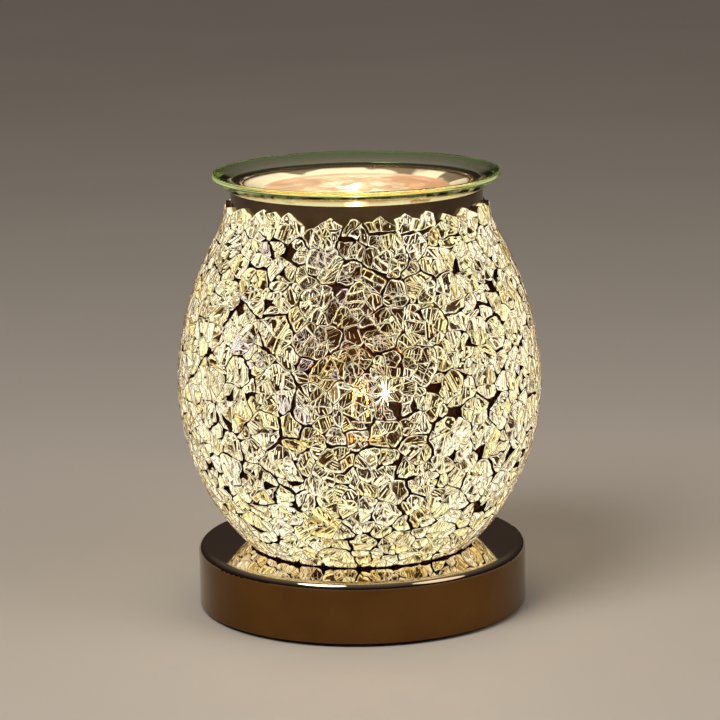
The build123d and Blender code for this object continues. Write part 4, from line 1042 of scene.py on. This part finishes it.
def build_wax():
    """The pool: its underside lies against the dish, and its top has soft lumps of unmelted wax and a meniscus."""
    rng = random.Random(41)
    wall = rounded([(58.7, 181.5), (38.2, 174.6), (31.0, 167.0), (0.0, 167.0)], [6.0, 8.0])
    under = []
    for (r0, z0), (r1, z1) in zip(wall, wall[1:]):
        for k in range(3):
            under.append((r0 + (r1 - r0) * k / 3, z0 + (z1 - z0) * k / 3))
    under = [(r, z) for r, z in under if z < WAX_LEVEL + 0.15]
    edge_r = under[0][0]
    around, rings = 160, 72
    lumps = [(rng.uniform(0, 30) ** 1.0, rng.uniform(0, 2 * math.pi), rng.uniform(2.5, 6.5), rng.uniform(0.15, 0.75)) for _ in range(46)]
    lumps = [(r * math.cos(t), r * math.sin(t), size, h) for r, t, size, h in lumps]
    verts, faces = [], []
    for i in range(rings + 1):
        r = (edge_r + 0.10) * (i / rings) ** 0.9
        for k in range(around):
            t = 2 * math.pi * k / around
            x, y = r * math.cos(t), r * math.sin(t)
            z = WAX_LEVEL - 0.25 + 0.42 * max(0.0, (r - edge_r + 3.0) / 3.0) ** 2
            fade = min(1.0, max(0.0, (edge_r - 2.0 - r) / 6.0))
            for lx, ly, size, h in lumps:
                d2 = ((x - lx) ** 2 + (y - ly) ** 2) / (size * size)
                if d2 < 1:
                    z += fade * h * (1 - d2) ** 2
            verts.append((x * MM, y * MM, z * MM))
            if i == 0:
                break
    first = lambda i: 0 if i == 0 else 1 + (i - 1) * around
    for k in range(around):
        j = (k + 1) % around
        faces.append((0, first(1) + k, first(1) + j))
        for i in range(1, rings):
            faces.append((first(i) + k, first(i + 1) + k, first(i + 1) + j, first(i) + j))
    last = first(rings)
    for r, z in under:
        if r < 0.5:
            continue
        base = len(verts)
        for k in range(around):
            t = 2 * math.pi * k / around
            grow = 0.07
            verts.append(((r + grow) * math.cos(t) * MM, (r + grow) * math.sin(t) * MM, (z - grow) * MM))
        for k in range(around):
            j = (k + 1) % around
            faces.append((last + k, base + k, base + j, last + j))
        last = base
    verts.append((0, 0, (167.0 - 0.07) * MM))
    tip = len(verts) - 1
    for k in range(around):
        faces.append((last + k, tip, last + (k + 1) % around))
    me = bpy.data.meshes.new("wax_pool")
    me.from_pydata(verts, [], faces)
    me.polygons.foreach_set("use_smooth", [True] * len(faces))
    me.materials.append(MATERIALS["wax"])
    me.update()
    ob = bpy.data.objects.new("wax_pool", me)
    scene.collection.objects.link(ob)
    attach(ob, "dish")
    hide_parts("wax_melt")
    return ob


wax = build_wax()

# ---------------------------------------------------------------- stage
floor_me = bpy.data.meshes.new("stage_floor")
SIDE = 7.0
floor_me.from_pydata([(-SIDE, -SIDE, 0), (SIDE, -SIDE, 0), (SIDE, SIDE, 0), (-SIDE, SIDE, 0)], [], [(0, 1, 2, 3)])
floor_me.materials.append(floor_material())
floor = bpy.data.objects.new("stage_floor", floor_me)
scene.collection.objects.link(floor)

world = bpy.data.worlds.new("studio")
scene.world = world
world.use_nodes = True
wt = world.node_tree
wt.nodes.clear()
w_out = wt.nodes.new("ShaderNodeOutputWorld")
w_bg = wt.nodes.new("ShaderNodeBackground")
w_tc = wt.nodes.new("ShaderNodeTexCoord")
w_sep = wt.nodes.new("ShaderNodeSeparateXYZ")
w_ramp = wt.nodes.new("ShaderNodeValToRGB")
wt.links.new(w_tc.outputs["Generated"], w_sep.inputs[0])
wt.links.new(w_sep.outputs["Z"], w_ramp.inputs["Fac"])
el = w_ramp.color_ramp.elements
el[0].position, el[0].color = 0.0, (0.030, 0.022, 0.018, 1)
el[1].position, el[1].color = 1.0, (0.22, 0.20, 0.18, 1)
e = el.new(0.35)
e.color = (0.045, 0.034, 0.030, 1)
wt.links.new(w_ramp.outputs[0], w_bg.inputs["Color"])
wt.links.new(w_bg.outputs[0], w_out.inputs["Surface"])
w_bg.inputs["Strength"].default_value = 1.0


def area_light(name, at, look, size, power, colour):
    data = bpy.data.lights.new(name, "AREA")
    data.shape = "DISK"
    data.size = size
    data.energy = power
    data.color = colour
    ob = bpy.data.objects.new(name, data)
    ob.location = at
    ob.rotation_mode = "QUATERNION"
    ob.rotation_quaternion = (Vector(look) - Vector(at)).to_track_quat("-Z", "Y")
    scene.collection.objects.link(ob)
    return ob


area_light("key", (-0.55, -0.75, 1.15), (0, 0, 0.05), 0.7, 9.0, (1.0, 0.94, 0.86))
area_light("fill", (0.9, -0.5, 0.8), (0, 0, 0.08), 0.8, 3.0, (1.0, 0.90, 0.80))

lamp_data = bpy.data.lights.new("lamp_inside", "POINT")
lamp_data.energy = 1.6
lamp_data.color = (1.0, 0.72, 0.42)
lamp_data.shadow_soft_size = 0.004
lamp = bpy.data.objects.new("lamp_inside", lamp_data)
lamp.location = (0, 0, 0.088)
scene.collection.objects.link(lamp)
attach(lamp, "bulb")

# ---------------------------------------------------------------- camera
cam_data = bpy.data.cameras.new("camera")
cam = bpy.data.objects.new("camera", cam_data)
scene.collection.objects.link(cam)
cam_data.lens = 150.7
cam_data.sensor_width = 36.0
cam_data.shift_x = 0.00107
cam_data.clip_start, cam_data.clip_end = 0.01, 60.0
cam.matrix_world = Matrix.Translation((0, -1.2142, 0.3596)) @ Matrix.Rotation(math.radians(90 - 11.96), 4, "X") @ Matrix.Rotation(math.radians(-0.918), 4, "Z")
scene.camera = cam

# a little bloom and a six-rayed star round the brightest points
scene.use_nodes = True
ct = scene.node_tree
ct.nodes.clear()
c_in = ct.nodes.new("CompositorNodeRLayers")
c_out = ct.nodes.new("CompositorNodeComposite")
c_fog = ct.nodes.new("CompositorNodeGlare")
c_fog.glare_type = "FOG_GLOW"
c_fog.quality = "HIGH"
for key, value in (("Threshold", 1.6), ("Strength", 0.08), ("Size", 0.35)):
    if key in c_fog.inputs:
        c_fog.inputs[key].default_value = value
c_ray = ct.nodes.new("CompositorNodeGlare")
c_ray.glare_type = "STREAKS"
c_ray.quality = "HIGH"
for key, value in (("Threshold", 6.0), ("Strength", 0.10), ("Streaks", 6), ("Streaks Angle", 0.26), ("Iterations", 2), ("Fade", 0.80), ("Color Modulation", 0.1)):
    if key in c_ray.inputs:
        c_ray.inputs[key].default_value = value
ct.links.new(c_in.outputs["Image"], c_ray.inputs["Image"])
ct.links.new(c_ray.outputs["Image"], c_fog.inputs["Image"])
ct.links.new(c_fog.outputs["Image"], c_out.inputs["Image"])

scene.view_settings.view_transform = "Standard"
scene.view_settings.look = "None"
scene.view_settings.exposure = 0.0
scene.view_settings.gamma = 1.0

bpy.context.view_layer.update()
